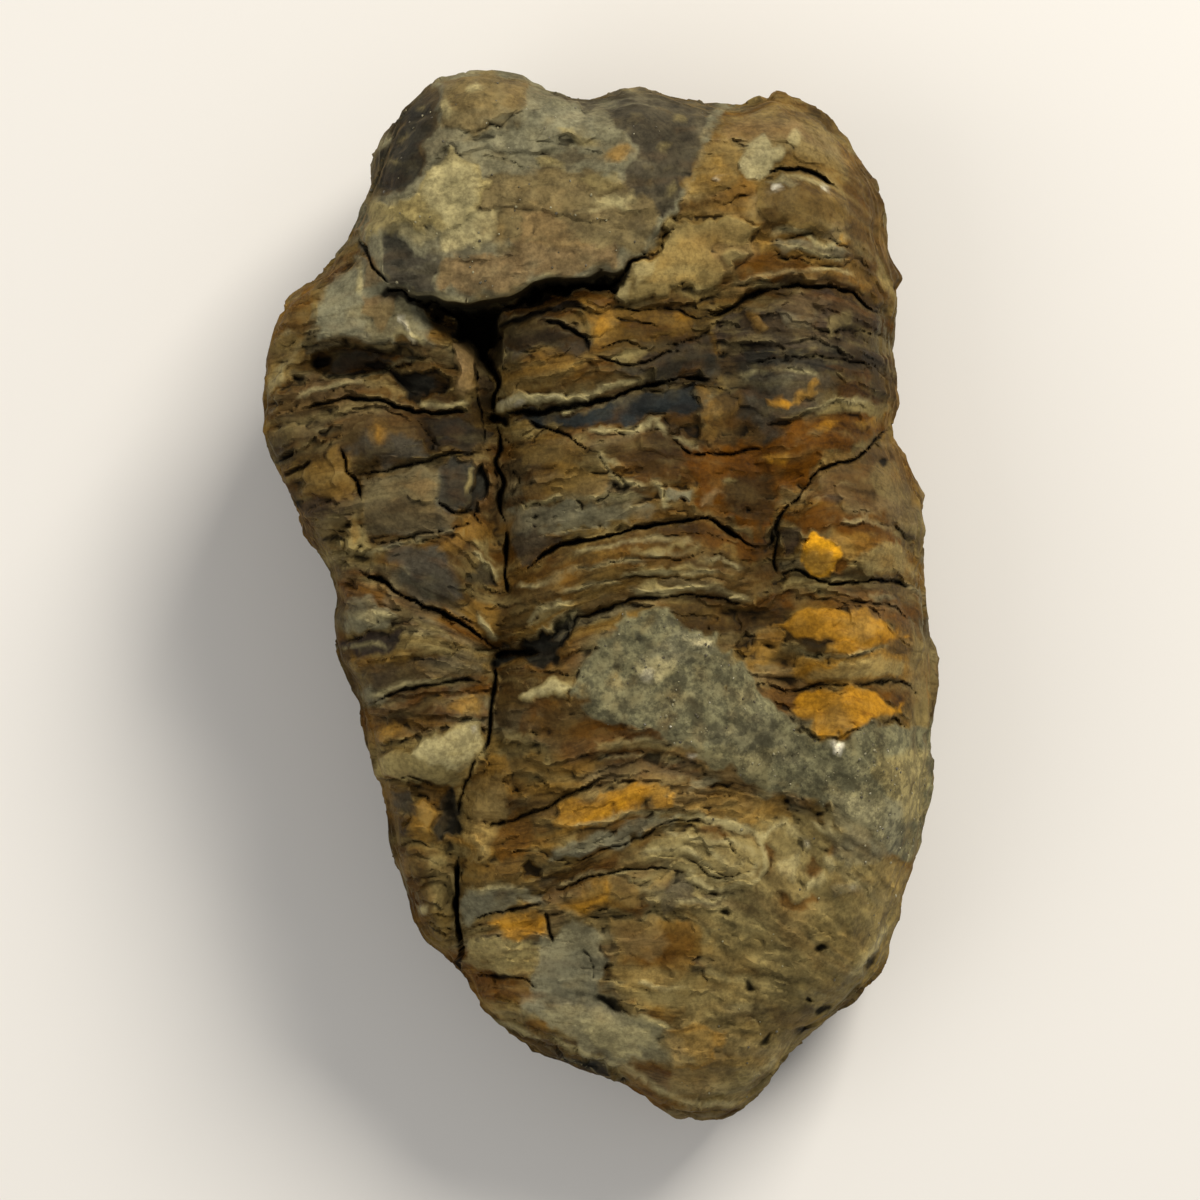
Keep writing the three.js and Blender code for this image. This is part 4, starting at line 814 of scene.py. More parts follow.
# %% Plates of the tail half
MATRIX = (
    "-2 -5.2, -0.8 -3.6, 0.4 -2, 1.6 -0.8, 2.8 -0.2, 3.6 -0.7, 4.8 -1.3, 6.2 -2.1, 7.2 -3, 8.4 -4,"
    "8.8 -5.2, 10.2 -6.5, 11.6 -7.6, 13.4 -7.3, 15.6 -6.6, 19.5 -6.9, 19.5 -13.8, 16.6 -14.4,"
    "13.6 -11.6, 9.6 -10.2, 7 -9.2, 5 -8, 3 -7, 0.6 -6.6"
)
# The spar specks in this table are painted glints.
lay(
    f"""
tan 0.45 0 0.75: 5.6 -11.6, 9 -11, 12 -12, 16.6 -14.6, 18 -18, 14 -22, 9 -28.5, 4 -27.6, 3.4 -24, 5.6 -21,
  5.4 -17.4, 9.4 -15
sand 1 0.2 0.95: {MATRIX}
slate 0.6 0.05 0.95: 2 -2.6, 5 -1.6, 7 -2.9, 5.4 -3.2, 3.2 -4.4, 2 -4.2
bone 0.4 0.06 0.95: 1.8 -3.4, 2.6 -2.6, 3.6 -3.2, 4.6 -3.4, 3.8 -4.4, 2.6 -4.6
spar 0.3 0.04 0.95: 2.7 -3.9 0.3 0.5 0
spar 0.25 0.04 0.95: 5.7 -2.5 0.5 0.2 -10
spar 1 0.1 1: 13 -7.9 0.36 0.2 20
spar 0.7 0.05 1: 12.6 -7.7 0.14 0.14 0
spar 0.5 0.05 1: 5.1 -8.4 0.2 0.16 0
bone 0.4 0.06 0.95: 5.7 -2.4 0.6 0.3 -10
bone 0.35 0.06 0.95: 7.7 -5.4 0.7 0.3 10
shale 0.3 -0.05 0.95: 5 -7, 9 -6.4, 11.4 -8.4, 8.6 -9.4
ink 0.8 -0.1 0.95: 2 -2 0.25 0.35 0
tan 0.6 0.05 0.9: 14.6 -8.8, 17.8 -8.2, 18.2 -12, 16.6 -12
rust 0.55 0.05 0.6: -4.6 -7.4, -3.2 -5.5, -1.4 -5.5, 1.6 -7, 3.4 -7.5, 1.6 -8.4, -2 -8.2
umber 0.3 0 0.5: -3.4 -6, -1.6 -5.6, -0.6 -6.6, -3 -7.4
tan 0.6 0.1 0.7: 0 -7.9, 2.4 -7.4, 5 -7.8, 2.6 -7.9, 0.2 -8.3
ochre 0.35 0 0.3: -6.4 -9.6, -4 -8.6, -1 -8.4, 0.2 -8.9, -3.4 -9.8, -6 -11
slate 0.2 0 0.4: -0.8 -9.5, 1 -8.7, 4.4 -8.8, 6.4 -9.5, 3.6 -10, 0.4 -10.1
slate 0.7 0.08 0.8: 4.8 -10, 6 -9.5, 6.9 -9.8, 5.6 -10.3
ochre 0.85 0.1 0.4: -6.2 -8.6, -5.2 -8.4, -4.6 -9.8, -5 -11.2, -6.5 -11.2
ochre 0.6 0 0.3: -7.4 -10.4, -6.4 -9.6, -5.4 -11.8, -5.6 -13.8, -7.4 -13.6
rust 0.95 0 0.5: -6 -12.1, -4 -11.4, -3.2 -12.6, -3.6 -14.2, -5.6 -14.2
umber 0.7 -0.1 0.3: -4.4 -11.6, -2.4 -10.5, -1.2 -10.4, -2.6 -11.8, -4.2 -12.3
orange 0.8 0.2 0.7: -2.7 -12.4, -2.2 -11.4, -1 -10.7, 0.4 -10.6, 2.6 -10.2, 4.4 -10.2, 4 -11, 2.2 -11.5,
  0.6 -11.9, -1 -12.4
brass 0.45 0.05 0.7: -1.6 -12.1, -0.2 -11.2, 2.6 -10.6, 1.4 -11.3, -0.4 -11.9
umber 0.8 -0.1 0.8: -0.8 -10.9 0.35 0.25 0
rust 0.8 -0.08 0.8: 0.1 -11.7, 0.6 -11.3, 1 -11.4, 0.5 -11.9
slate 0.9 0.1 0.6: -2.6 -14, -0.4 -12.8, 2.6 -11.9, 4.4 -11.6, 3.6 -12.4, 1 -13.3, -1.4 -14.4
bone 0.75 0.1 0.9: 3 -11.9, 5.4 -11.5, 8 -12.3, 7.8 -12.7, 5.2 -11.9
ochre 0.65 0 0.3: 4.4 -10.9, 7 -10.2, 10 -10.8, 10.6 -12, 8 -12.1, 5.6 -11.4
tan 0.8 0.1 0.5: 2 -13.6, 5 -12.6, 8 -13, 9.4 -14.6, 8.4 -16, 5.2 -15.8, 4.4 -14.8
tan 0.5 0.1 0.6: 8.4 -12.6, 11 -11.8, 13.4 -12.8, 13.8 -14.2, 11.6 -16.4, 9 -16.2
bone 0.5 0.1 0.7: 10.4 -12.4, 11.4 -12.6, 11.2 -13.4, 10.4 -13.2
bone 0.5 0.1 0.7: 9.8 -14.4, 10.6 -14, 10.6 -15.6, 9.8 -15.4
bone 0.6 0.1 0.8: 11.3 -13.6 0.25 0.2 20
bone 0.5 0.1 0.8: 11.9 -15.4 0.4 0.3 40
rust 0.8 -0.1 0.9: 9 -13.2, 9.5 -13.6, 9.6 -14.4, 9.2 -14.8, 8.9 -14
rust 0.8 -0.1 0.9: 11.2 -14.8, 11.6 -14.2, 12.2 -15, 11.6 -15.8
rust 0.7 -0.1 0.9: 12.6 -12.9, 13.4 -13.4, 12.8 -14.4, 12.4 -13.8
rust 0.7 -0.08 0.9: 9.8 -16.2, 11.6 -16.1, 11.9 -16.6, 10.2 -16.8
bone 0.8 0.1 0.9: 9 -12.6, 10.4 -12.2, 10.2 -12.6, 9.1 -12.9
bone 0.7 0.1 0.9: 11.9 -12.3, 13 -12.5, 13.3 -13, 12.3 -12.8
bone 0.7 0.1 0.9: 12.3 -14.3, 12.9 -14.1, 13 -15, 12.5 -15.1
bone 0.8 0.1 0.9: 11.3 -16, 11.8 -15.7, 11.7 -15.3, 11.2 -15.6
spar 0.5 0.05 1: 11.3 -13.4 0.16 0.12 30
spar 0.4 0.05 1: 14 -15.8 0.25 0.2 0
slate 0.7 0 0.7: 12.4 -10.6, 16.4 -11, 16.6 -14, 13.6 -13.4
slate 0.5 0 0.6: 12.6 -12.8, 14.4 -12.8, 16.2 -14, 13 -14.2
slate 0.6 0.1 0.6: 12.6 -15.8, 14.4 -15.2, 14 -16.2, 12.6 -16.4
ochre 0.5 0.05 0.5: 2.6 -14.9, 4.4 -14.8, 4 -15.6, 2.8 -15.8
ochre 0.8 0.15 0.7: -2.8 -17, -2 -16, 0.2 -15.4, 2 -15.5, 2.4 -16.4, 1 -16.9, -0.6 -17.2
orange 0.35 0.05 0.7: -2.2 -16.6, -0.6 -15.9, 1 -15.8, 0.4 -16.4, -1.2 -16.9
rust 0.7 0 0.7: 0.6 -15.2, 1.8 -15.4, 2 -16.2, 1 -15.8
rust 0.8 0 0.6: 1.2 -16.7, 2.8 -16, 2.8 -16.9, 1.6 -17.3
shale 0.6 0 0.6: 3 -15.4, 5 -15.2, 6 -16.6, 3.6 -17.2
tan 0.7 0.1 0.8: -6.3 -13.6 0.35 0.3 0
rose 0.5 0.05 0.7: -6.8 -10.6, -5.4 -10.6, -5.2 -12, -6.6 -12.2
olive 0.7 0.1 0.4: -7.6 -14.4, -4.4 -14.6, -3.2 -15.8, -5 -16.4, -7.6 -16.8
slate 0.8 0.1 0.7: -7.6 -16.2, -5.4 -16.2, -5.6 -16.8, -7.6 -17.4
umber 1 -0.3 0.9: -4.2 -14.6, -3.4 -14.2, -2.8 -14.8, -3.2 -15.5, -4 -15.3
orange 0.7 0.12 0.7: -6.2 -18.1, -5.4 -17.4, -3.3 -17.2, -3.2 -18.4, -4.6 -18.7
tan 0.9 0.1 0.8: -7.6 -19.8, -7.3 -18.7, -5 -18.6, -3.3 -18.9, -3.8 -20.5, -6.8 -20.5
ochre 0.6 0 0.7: 0.6 -17.6, 3 -17.2, 5.4 -18, 5.2 -20.4, 2.8 -21.6, 0.6 -21
tan 0.45 0 0.7: 0.4 -20.2, 2.6 -20, 5 -20.4, 4.8 -21.6, 2.8 -22.2, 0.8 -21.6
rust 0.35 0 0.7: 1 -18.2, 3.4 -18.2, 5 -18.8, 3.6 -19.8, 1.2 -20
slate 0.9 0 0.9: -3.4 -18.4, -1.2 -17.5, 0.2 -18.8, 0 -21.4, 1.6 -22.8, 3.6 -23.2, 3.2 -25.6, 0.6 -25.7,
  -4.4 -22.8
shale 0.1 0 0.9: -3 -19.2, 0 -19.4, 0.2 -21.4, -1 -22.6, -3.8 -22.4
shale 0.3 -0.05 0.9: -2.8 -20.8, -0.8 -20.6, 0.4 -22.8, -1.4 -22.8, -2.8 -22.2
bone 0.5 0.05 0.9: -1.2 -23.2, 0.6 -23, 1.8 -23.6, 0.4 -24
bone 1 0.05 0.9: -0.9 -23.6, 2.6 -23.6, 2.4 -25.4, 0.4 -25
shale 0.8 -0.05 0.9: 2.5 -25, 3.6 -24.9, 3.4 -25.6, 2.6 -25.5
rust 0.5 0 0.5: -7 -20.9, -4.4 -20.8, -3.3 -21.6, -4.4 -22.1, -6.8 -21.8
tan 0.5 0.1 0.6: -6.8 -22.1, -4.2 -22.3, -3.3 -23.6, -5.4 -23.4
bone 0.85 0.2 0.9: 1.4 -22.7, 2.6 -22.8, 4 -23.4, 2.6 -23.3
ochre 0.8 0.15 0.5: 3.7 -23.6, 5.2 -23.2, 6.6 -23.8, 6.8 -25.2, 5.6 -26.2, 3.8 -25.9
tan 0.3 0 0.5: 3.6 -21, 5.6 -20.8, 8 -22, 6 -23, 3.6 -22.6
olive 0.5 0 0.3: 5.8 -18.4, 9.2 -18, 9.6 -20.6, 6.4 -20.6
tan 0.35 0 0.5: 6.2 -17.4, 9.8 -17.2, 10 -20, 6.4 -20.2
umber 0.35 -0.1 0.4: 8.4 -20.4, 10.8 -20.2, 11.6 -23, 9.4 -24.4, 8 -23
umber 0.4 0 0.4: 8.6 -21.8, 10.4 -21, 11.4 -22.4, 9.6 -23.4
umber 0.2 0 0.4: 5 -22.8, 8.4 -22.6, 8 -25.4, 6.8 -26.6, 7 -24
tan 0.3 0 0.5: 4.2 -23.8, 6.2 -23.6, 6.4 -25.4, 4.6 -25.8
tan 0.7 0.15 0.8: 13.8 -20.2, 15 -19.2, 16.6 -17.6, 16.4 -18.2, 15.2 -19.6, 14 -20.6
tan 0.6 0.1 0.6: 8 -26.4 0.5 0.5 0
ink 1 -0.6 0.9: -2.8 -25.1, -1.2 -25.3, 0.4 -25.9, 1.4 -26.5, 0.4 -26.7, -1.2 -26.1
tan 0.15 0 0.5: 13 -14.6, 16.4 -14.8, 17.4 -17, 14.6 -20, 12.6 -17
ochre 0.3 0 0: -7.6 -8.8, -3 -8.6, 2 -8.4, 4 -9.6, -2 -13, -3.4 -15.6, -7.6 -15.6
tan 0.45 0 0: -7.6 -10.2, -5.6 -9.8, -5.2 -12.4, -6.4 -13.8, -7.6 -13.2
slate 0.8 0.08 0.8: -7.7 -16.4, -5.6 -16, -3.6 -16.2, -3.2 -16.7, -5.4 -17, -7.6 -17.6
bone 0.5 0.05 0.8: -7.4 -16.1, -5.4 -15.8, -3.9 -16, -5.6 -16.2
slate 0.35 0 0.4: -3.2 -18.2, -0.4 -18.2, 0.2 -21.4, 1.6 -22.6, 3.4 -23.4, 3 -25.2, -4 -22.6
brass 0.3 0 0.7: -2 -16.6, 0.4 -15.9, 0.8 -16.3, -1 -16.9
rust 0.35 0 0: 1 -17.8, 4.8 -17.8, 5.2 -19.8, 1 -20
bone 0.2 0 0: -3.4 -16.8, -0.6 -17, 3.4 -16.8, 3.4 -19.4, -3.4 -19.6
tan 0.2 0 0: 2.6 -8, 9.4 -8, 9.6 -10.6, 5.6 -13.4, 2.6 -13.2
umber 0.5 0 0: -5.8 -11.4, -2.8 -10.8, -2.6 -13.4, -5.8 -13.6
plum 0.4 0 0: 0 -8.6, 2.6 -8.2, 5.4 -8.6, 5.6 -9.6, 0.4 -9.8
bone 0.35 0 0: -3.4 -22.6, 0 -22.6, 3.6 -23.2, 5.4 -25.6, 1.6 -25.8, -2 -24.4
tan 0.4 0 0: 8.6 -19.4, 11.6 -19.2, 11.4 -22.6, 8.8 -22.4
tan 0.35 0 0: 0.6 -13.4, 3.4 -13.4, 3.4 -16.6, 0.6 -16.4
bone 0.3 0 0: 12.6 -10.4, 15.4 -10.6, 15.6 -13.4, 12.6 -13.2
"""
)

# %% [markdown]
# ## Stains that run over everything
# Water has drawn iron along the finest joints. Plates alone would look cut out, so faint streaks go over
# all of them.

# %% Thin stains over the plates
streaks("rust", 0.5, 1.6, 0.4, 105, cover=-0.3)
streaks("tan", 0.4, 1.8, 0.3, 106, cover=-0.35)
streaks("umber", 0.7, 1.4, 0.35, 107, cover=-0.3)
print("calm share of the map:", round(calm.mean(), 2))

# %% [markdown]
# ## Cracks, ledges and laminae
# A crack is a trench, darkened with dirt and painted shade. A ledge is a step at the end of a bed, with a
# lip that is rubbed pale and painted with a highlight, and a foot in painted shadow. Both are cut into the
# map along a line, because a mesh would need far more points.


# %% Crack and ledge
def crack(text, width, depth, black):
    """An open crack, wider here and narrower there."""
    window, away, _, ends = near_line(text, 3 * width)
    half = 0.32 * width * (0.3 + 0.7 * ends) * (1 + 0.6 * uneven[window] + 0.5 * ragged_x[window])
    half = np.maximum(half, 0.04)
    relief[window] -= depth * ends * np.clip(1.15 - away / half, 0, 1)
    # The black in the trench is dirt and painted shade.
    at_least(dirt_and_shade, black * ends**0.4 * np.exp(-((away / (1.3 * half)) ** 3)), window)


def ledge(text, height, run, pale, black):
    """A step: the ground on the left of the line stands higher, and levels out behind the edge."""
    window, away, side, ends = near_line(text, 3 * run)
    upper = side > 0
    ends = ends * np.clip(0.8 + 0.7 * uneven[window], 0.1, 1.3)
    drop = np.where(upper, 0.6 * np.exp(-away / run), -0.4 * np.exp(-away / 0.25))
    relief[window] += ends * height * drop
    # Pale lip: rubbed wear and painted highlight. Dark foot: painted shadow.
    at_least(wear_and_sheen, pale * ends * soft(1.3 - away / LIP) * upper, window)
    at_least(dirt_and_shade, black * ends * np.exp(-away / LIP) * ~upper, window)


LIP = 0.16
print("ledges have lips", LIP, "mm wide")

# %% [markdown]
# ## The gap under the slab
# The slab's rear edge stands over a deep gap. The solid has it already, so the map deepens it and blackens
# it and the slab's wall with painted shadow. No pale edges are painted in there.

# %% The slab's edge and the gap under it
GAP_DEPTH = 2.8
GAP = (
    "-11.6 16.7, -10.4 16.2, -8.8 15.9, -6.6 15.7, -4.8 15.7, -3.5 16.6, -2.2 17.3, -0.5 17.2,"
    "1 17.6, 2 18.6, 1.4 18, 0.9 17, -0.5 16.8, -2 16.9, -3 16.5, -3.8 16, -5.1 15.7, -5.7 15,"
    "-5.7 14.2, -6.1 13.2, -6.6 13.8, -7.1 14.2, -7.7 14.8, -8.1 15.5, -9.1 16, -10.5 16.3"
)
slab_inside, gap_inside = on_whole_map(SLAB), on_whole_map(GAP)
slab_left = 1 - soft((map_x - 1.5) / 3.0)
relief -= GAP_DEPTH * soft(gap_inside / 0.25 + 0.4)
# Painted shadow: the gap and the slab's wall are blackened.
at_least(dirt_and_shade, soft(gap_inside / 0.2 + 0.7))
at_least(dirt_and_shade, soft(gap_inside / 0.25 + 1.8) * soft(0.6 - slab_inside / 0.1) * (slab_inside > -0.7))
wear_and_sheen[(gap_inside > -0.4) & (slab_inside < 0)] = 0
print("slab and gap cut")

# %% [markdown]
# ## Open cracks
# The furrow left of the axis is an open crack from the slab to the tail, and finer ones cross the rings. A
# row gives a width and a depth in millimetres, how black it is, with dark dirt and painted shade in the
# trench, and its path. Noise varies the width.

# %% Cracks
CRACKS = """
0.6 1.4 1: -6.3 13.6, -5.7 12.2, -5.9 10.9, -5.8 10
0.55 1.4 1: -6.2 9.8, -5.6 9.9, -5 9.6
0.3 0.9 0.9: -5.9 9.8, -5.4 8.4, -5.7 7.6, -5.2 6.6, -5.5 5.4, -5.2 4
0.3 1.2 1: -5.2 4, -5.3 2.4, -5.2 1.2, -5 0.2
0.16 0.4 0.5: -6.9 13.2, -6.7 12, -6.8 10.6, -6.4 9.2, -6.5 8
0.35 0.9 0.9: -5.7 -3, -5.8 -4.6, -5.9 -6, -5.9 -7.8, -6.6 -8.8
0.55 1 1: -5.8 -2.9, -4.6 -2.9, -3.4 -2.8
0.3 0.6 0.6: -6.6 -8.8, -7.3 -10, -7.6 -11.6
0.36 1.8 1: -8 -14, -7.9 -15.6, -7.9 -17.4, -7.8 -19.2, -7.8 -20.3, -7.3 -21.2
0.42 1.3 1: -6 10, -3.6 10.25, -1.5 10.75, 1 11.1, 3 11.6, 5 11.95, 6.6 12
0.3 0.6 0.9: -4.2 9.8, -3.2 9.4, -2 9.1, -1.4 8.6, -0.2 7.9
0.2 0.4 0.6: -0.2 7.9, 0.2 7.2, 0.9 6.5, 1.6 6, 2.6 5.9
0.27 1.2 1: -4.8 1.2, -3.5 2.1, -2 2.9, -0.5 3.4, 2 3.85, 4.7 4.3, 6.2 4.1, 7.4 3.4, 9 2.8
0.3 0.8 0.9: -1.6 -1.2, 0.2 -0.5, 1.5 0.1, 3.5 0.3, 6 0.1, 8.4 -0.3
0.5 0.6 0.9: -3.3 15.1, -2 14.95, -1 14.5, -0.65 13.8, -0.5 13.4
0.22 0.5 0.8: -0.5 13.4, 0.4 13.1, 1.4 12.9, 2.6 13, 4 13.4, 5 13.5
0.16 0.4 0.7: -0.1 13.6, 1 14, 2 13.8, 3 13.4
0.22 0.5 0.8: 3.4 13.7, 5 14.2, 6.2 14.8
0.2 0.4 0.9: 0.6 15.5, 1.4 15.1, 3.4 14.9
0.55 0.6 0.9: -5.7 14.9, -4.4 15.15, -3.4 15.6, -2.2 15.85, -0.7 15.8
0.22 0.4 0.8: -0.6 15.8, 0.6 16, 2.4 15.75, 4 15.9, 5.4 15.5, 6.8 16.1
0.22 0.6 0.7: -6.5 -12.4, -5 -12.1, -3.5 -11.6, -2 -10.9, -0.6 -10, 0.4 -9.6
0.16 0.4 0.6: -1.8 -14.9, 0 -13.9, 2.2 -13.1, 3.6 -12.2, 5.4 -11.9, 6.2 -12.2
0.16 0.5 0.6: -2.9 -16.1, -1.8 -15.7, 0.4 -15.1, 2.4 -14.8, 4.8 -14.9
0.2 0.5 0.8: -7.2 -17.6, -5.5 -17.2, -4 -17, -2.9 -16.4
0.28 0.6 0.8: -7.2 -20.8, -5.6 -20.7, -4.3 -20.8, -3.2 -21.4
0.25 0.5 0.8: -3.1 -17.2, -3 -18, -2.6 -18.7
0.2 0.3 0.6: -1.2 -19, -0.6 -19.6, -0.3 -21
0.3 0.8 1: 9 23.3, 9.5 23.6, 10.4 23.65, 11.6 23.3, 13 22.5
0.22 0.5 0.8: 6.6 21.4, 7.6 21.9, 8.4 22.3
0.14 0.2 0.4: -8 24.2, -6.5 24, -5 23.8, -3.6 23.6
0.2 0.3 0.7: -8 25.2, -6.4 25.6, -5.2 25.9, -4.4 26.8
0.14 0.2 0.4: -3.8 25, -2.4 24.9, -1.2 24.5, 0.4 24.2
0.3 0.6 0.9: -13.3 20, -13 19.2, -12 17.6, -11.4 17
0.18 0.3 0.6: -14.4 17.6, -13.6 18.4, -13 18.9
0.2 0.3 0.6: 8.8 18.4, 11 18.6, 13.2 18.9, 15 18
0.2 0.3 0.6: 8.9 19.2, 10.2 19.6, 11.6 19.9, 12.8 19.7, 14 19
0.16 0.3 0.6: 9.2 18.9, 10.8 18.3, 12.4 18.3, 14.2 18.8
0.3 0.6 0.9: 1.9 18.9, 2.6 18.7, 3.3 19, 3.4 19.5, 4.2 20.1
0.3 0.9 0.9: -14.1 8.3, -13.7 7.2, -13.3 6.4, -13.1 5.4
0.25 0.6 0.8: -13.2 6.8, -11.5 7.1, -10 7.5, -8.6 7.9, -6.5 8.1
0.2 0.5 0.7: -12.9 3.5, -11.4 3.1, -9.4 3.7, -8 4, -6.8 4.6
0.2 0.6 0.8: -9 5.6, -8 4.8, -7.2 4.9, -6.4 4.2
0.24 1 1: -13.3 1.7, -12 1.15, -10.5 0.3, -9.6 -0.1, -8.3 -0.8, -7 -1.6, -5.5 -2.6
0.3 0.8 0.9: -16.6 10.3, -14.8 10.7, -13 11, -11.2 10.5, -9.4 10.2, -6.9 10.3
0.14 0.3 0.6: -10 9.9, -9.2 9, -8.8 8.3
0.3 0.7 0.9: -18 7.4, -17.2 8, -16.6 8.4
0.3 0.6 0.8: -17.4 6.8, -16.4 7.3, -15.6 7.8
0.25 0.5 0.8: -15.3 3.2, -14.6 3.5, -14 3.2
0.25 0.6 0.8: -13.3 -5.9, -11 -5, -9 -4.5, -7.2 -4.2, -6.1 -4.5
0.2 0.4 0.6: -14.6 -2.8, -13.2 -2.1, -12.2 -1.6
0.35 0.9 1: -13.4 -6.6, -13 -7.4, -12.7 -8.4
0.25 0.5 0.7: -12.6 -9.9, -11.4 -9.8, -10 -9.6, -8.8 -10.1
0.14 0.3 0.6: -11.4 -13.6, -10.2 -13.3, -9.2 -13.6
0.16 0.3 0.6: -11 -15.4, -10 -15.1, -8.8 -15.3
0.3 0.6 0.8: -10.2 -17.9, -9.4 -17.9, -8.4 -18.5
0.24 0.8 1: 16.8 9.3, 15.7 9.3, 14.6 8.3, 13.6 7.6, 12.6 7.3, 11.6 6.6, 10.6 5.4, 9.8 4.4, 9.4 3.4, 8.8 2.8
0.2 0.6 0.8: 9.8 4, 9.6 2.8, 9.6 1.4
0.32 0.9 0.9: 9.5 1.4, 11 1.5, 12.2 1, 13.8 1, 15.2 1.1, 16.6 0.8, 17.6 0.4
0.2 0.5 0.7: 8.4 -4.6, 10.4 -4.9, 12.4 -4.6, 14.6 -4.6, 16.4 -4.5, 18.2 -5.6
0.25 0.5 0.7: 13.2 0.1, 15.2 -0.1, 16.4 -0.5, 17.6 -1.4
0.25 0.5 0.7: 15 4.3, 16.3 3.9, 17.2 2.8
0.22 0.6 0.8: 3.6 8.8, 4.4 8.2, 5.4 8, 7.2 8.1, 9.2 8.4
0.35 0.8 0.9: 5.6 15.4, 6.8 15.8, 8.4 16.6, 11 17, 13.6 16.9, 15 16.1, 16 15.6
0.2 0.4 0.6: 12.4 14.3, 14 14.8, 16 14.6
0.2 0.4 0.6: 7.8 12.6, 10.4 13.2, 13.6 13.1, 16.2 12.2
0.13 0.25 0.6: -2.4 1.3, 0.4 2, 3 2.25, 5.6 2.3, 7.6 1.9
0.13 0.25 0.6: -1.4 0.8, 1.4 1.2, 3.6 1.25, 5.6 1.1, 7.2 0.9
0.13 0.25 0.5: 1.4 3.3, 3.6 3.4, 5.6 3.4, 7.4 2.8
0.14 0.3 0.6: 6.8 -13.1, 7.4 -13.9, 8.1 -14.4
0.12 0.25 0.5: 5 -14, 6 -14.8, 7.2 -15.1, 8.4 -14.7
0.1 0.2 0.4: 9.4 -13.6, 9.3 -14.6, 8.8 -15.4
0.14 0.3 0.5: 3 -14.1, 4.8 -14.1, 5.8 -15, 7.4 -15.3
"""
for settings, path in rows_of(CRACKS):
    crack(path, *numbers_in(settings))
print("cracks cut, deepest mm:", round(-relief.min(), 2))

# %% [markdown]
# ## Ledges
# Where a bed ends, the back drops by a few tenths of a millimetre. A row gives the height, how far back the
# step levels out, how pale its lip is (wear and painted highlight) and how dark its foot is (painted
# shadow), and its path, with the high ground on the left.

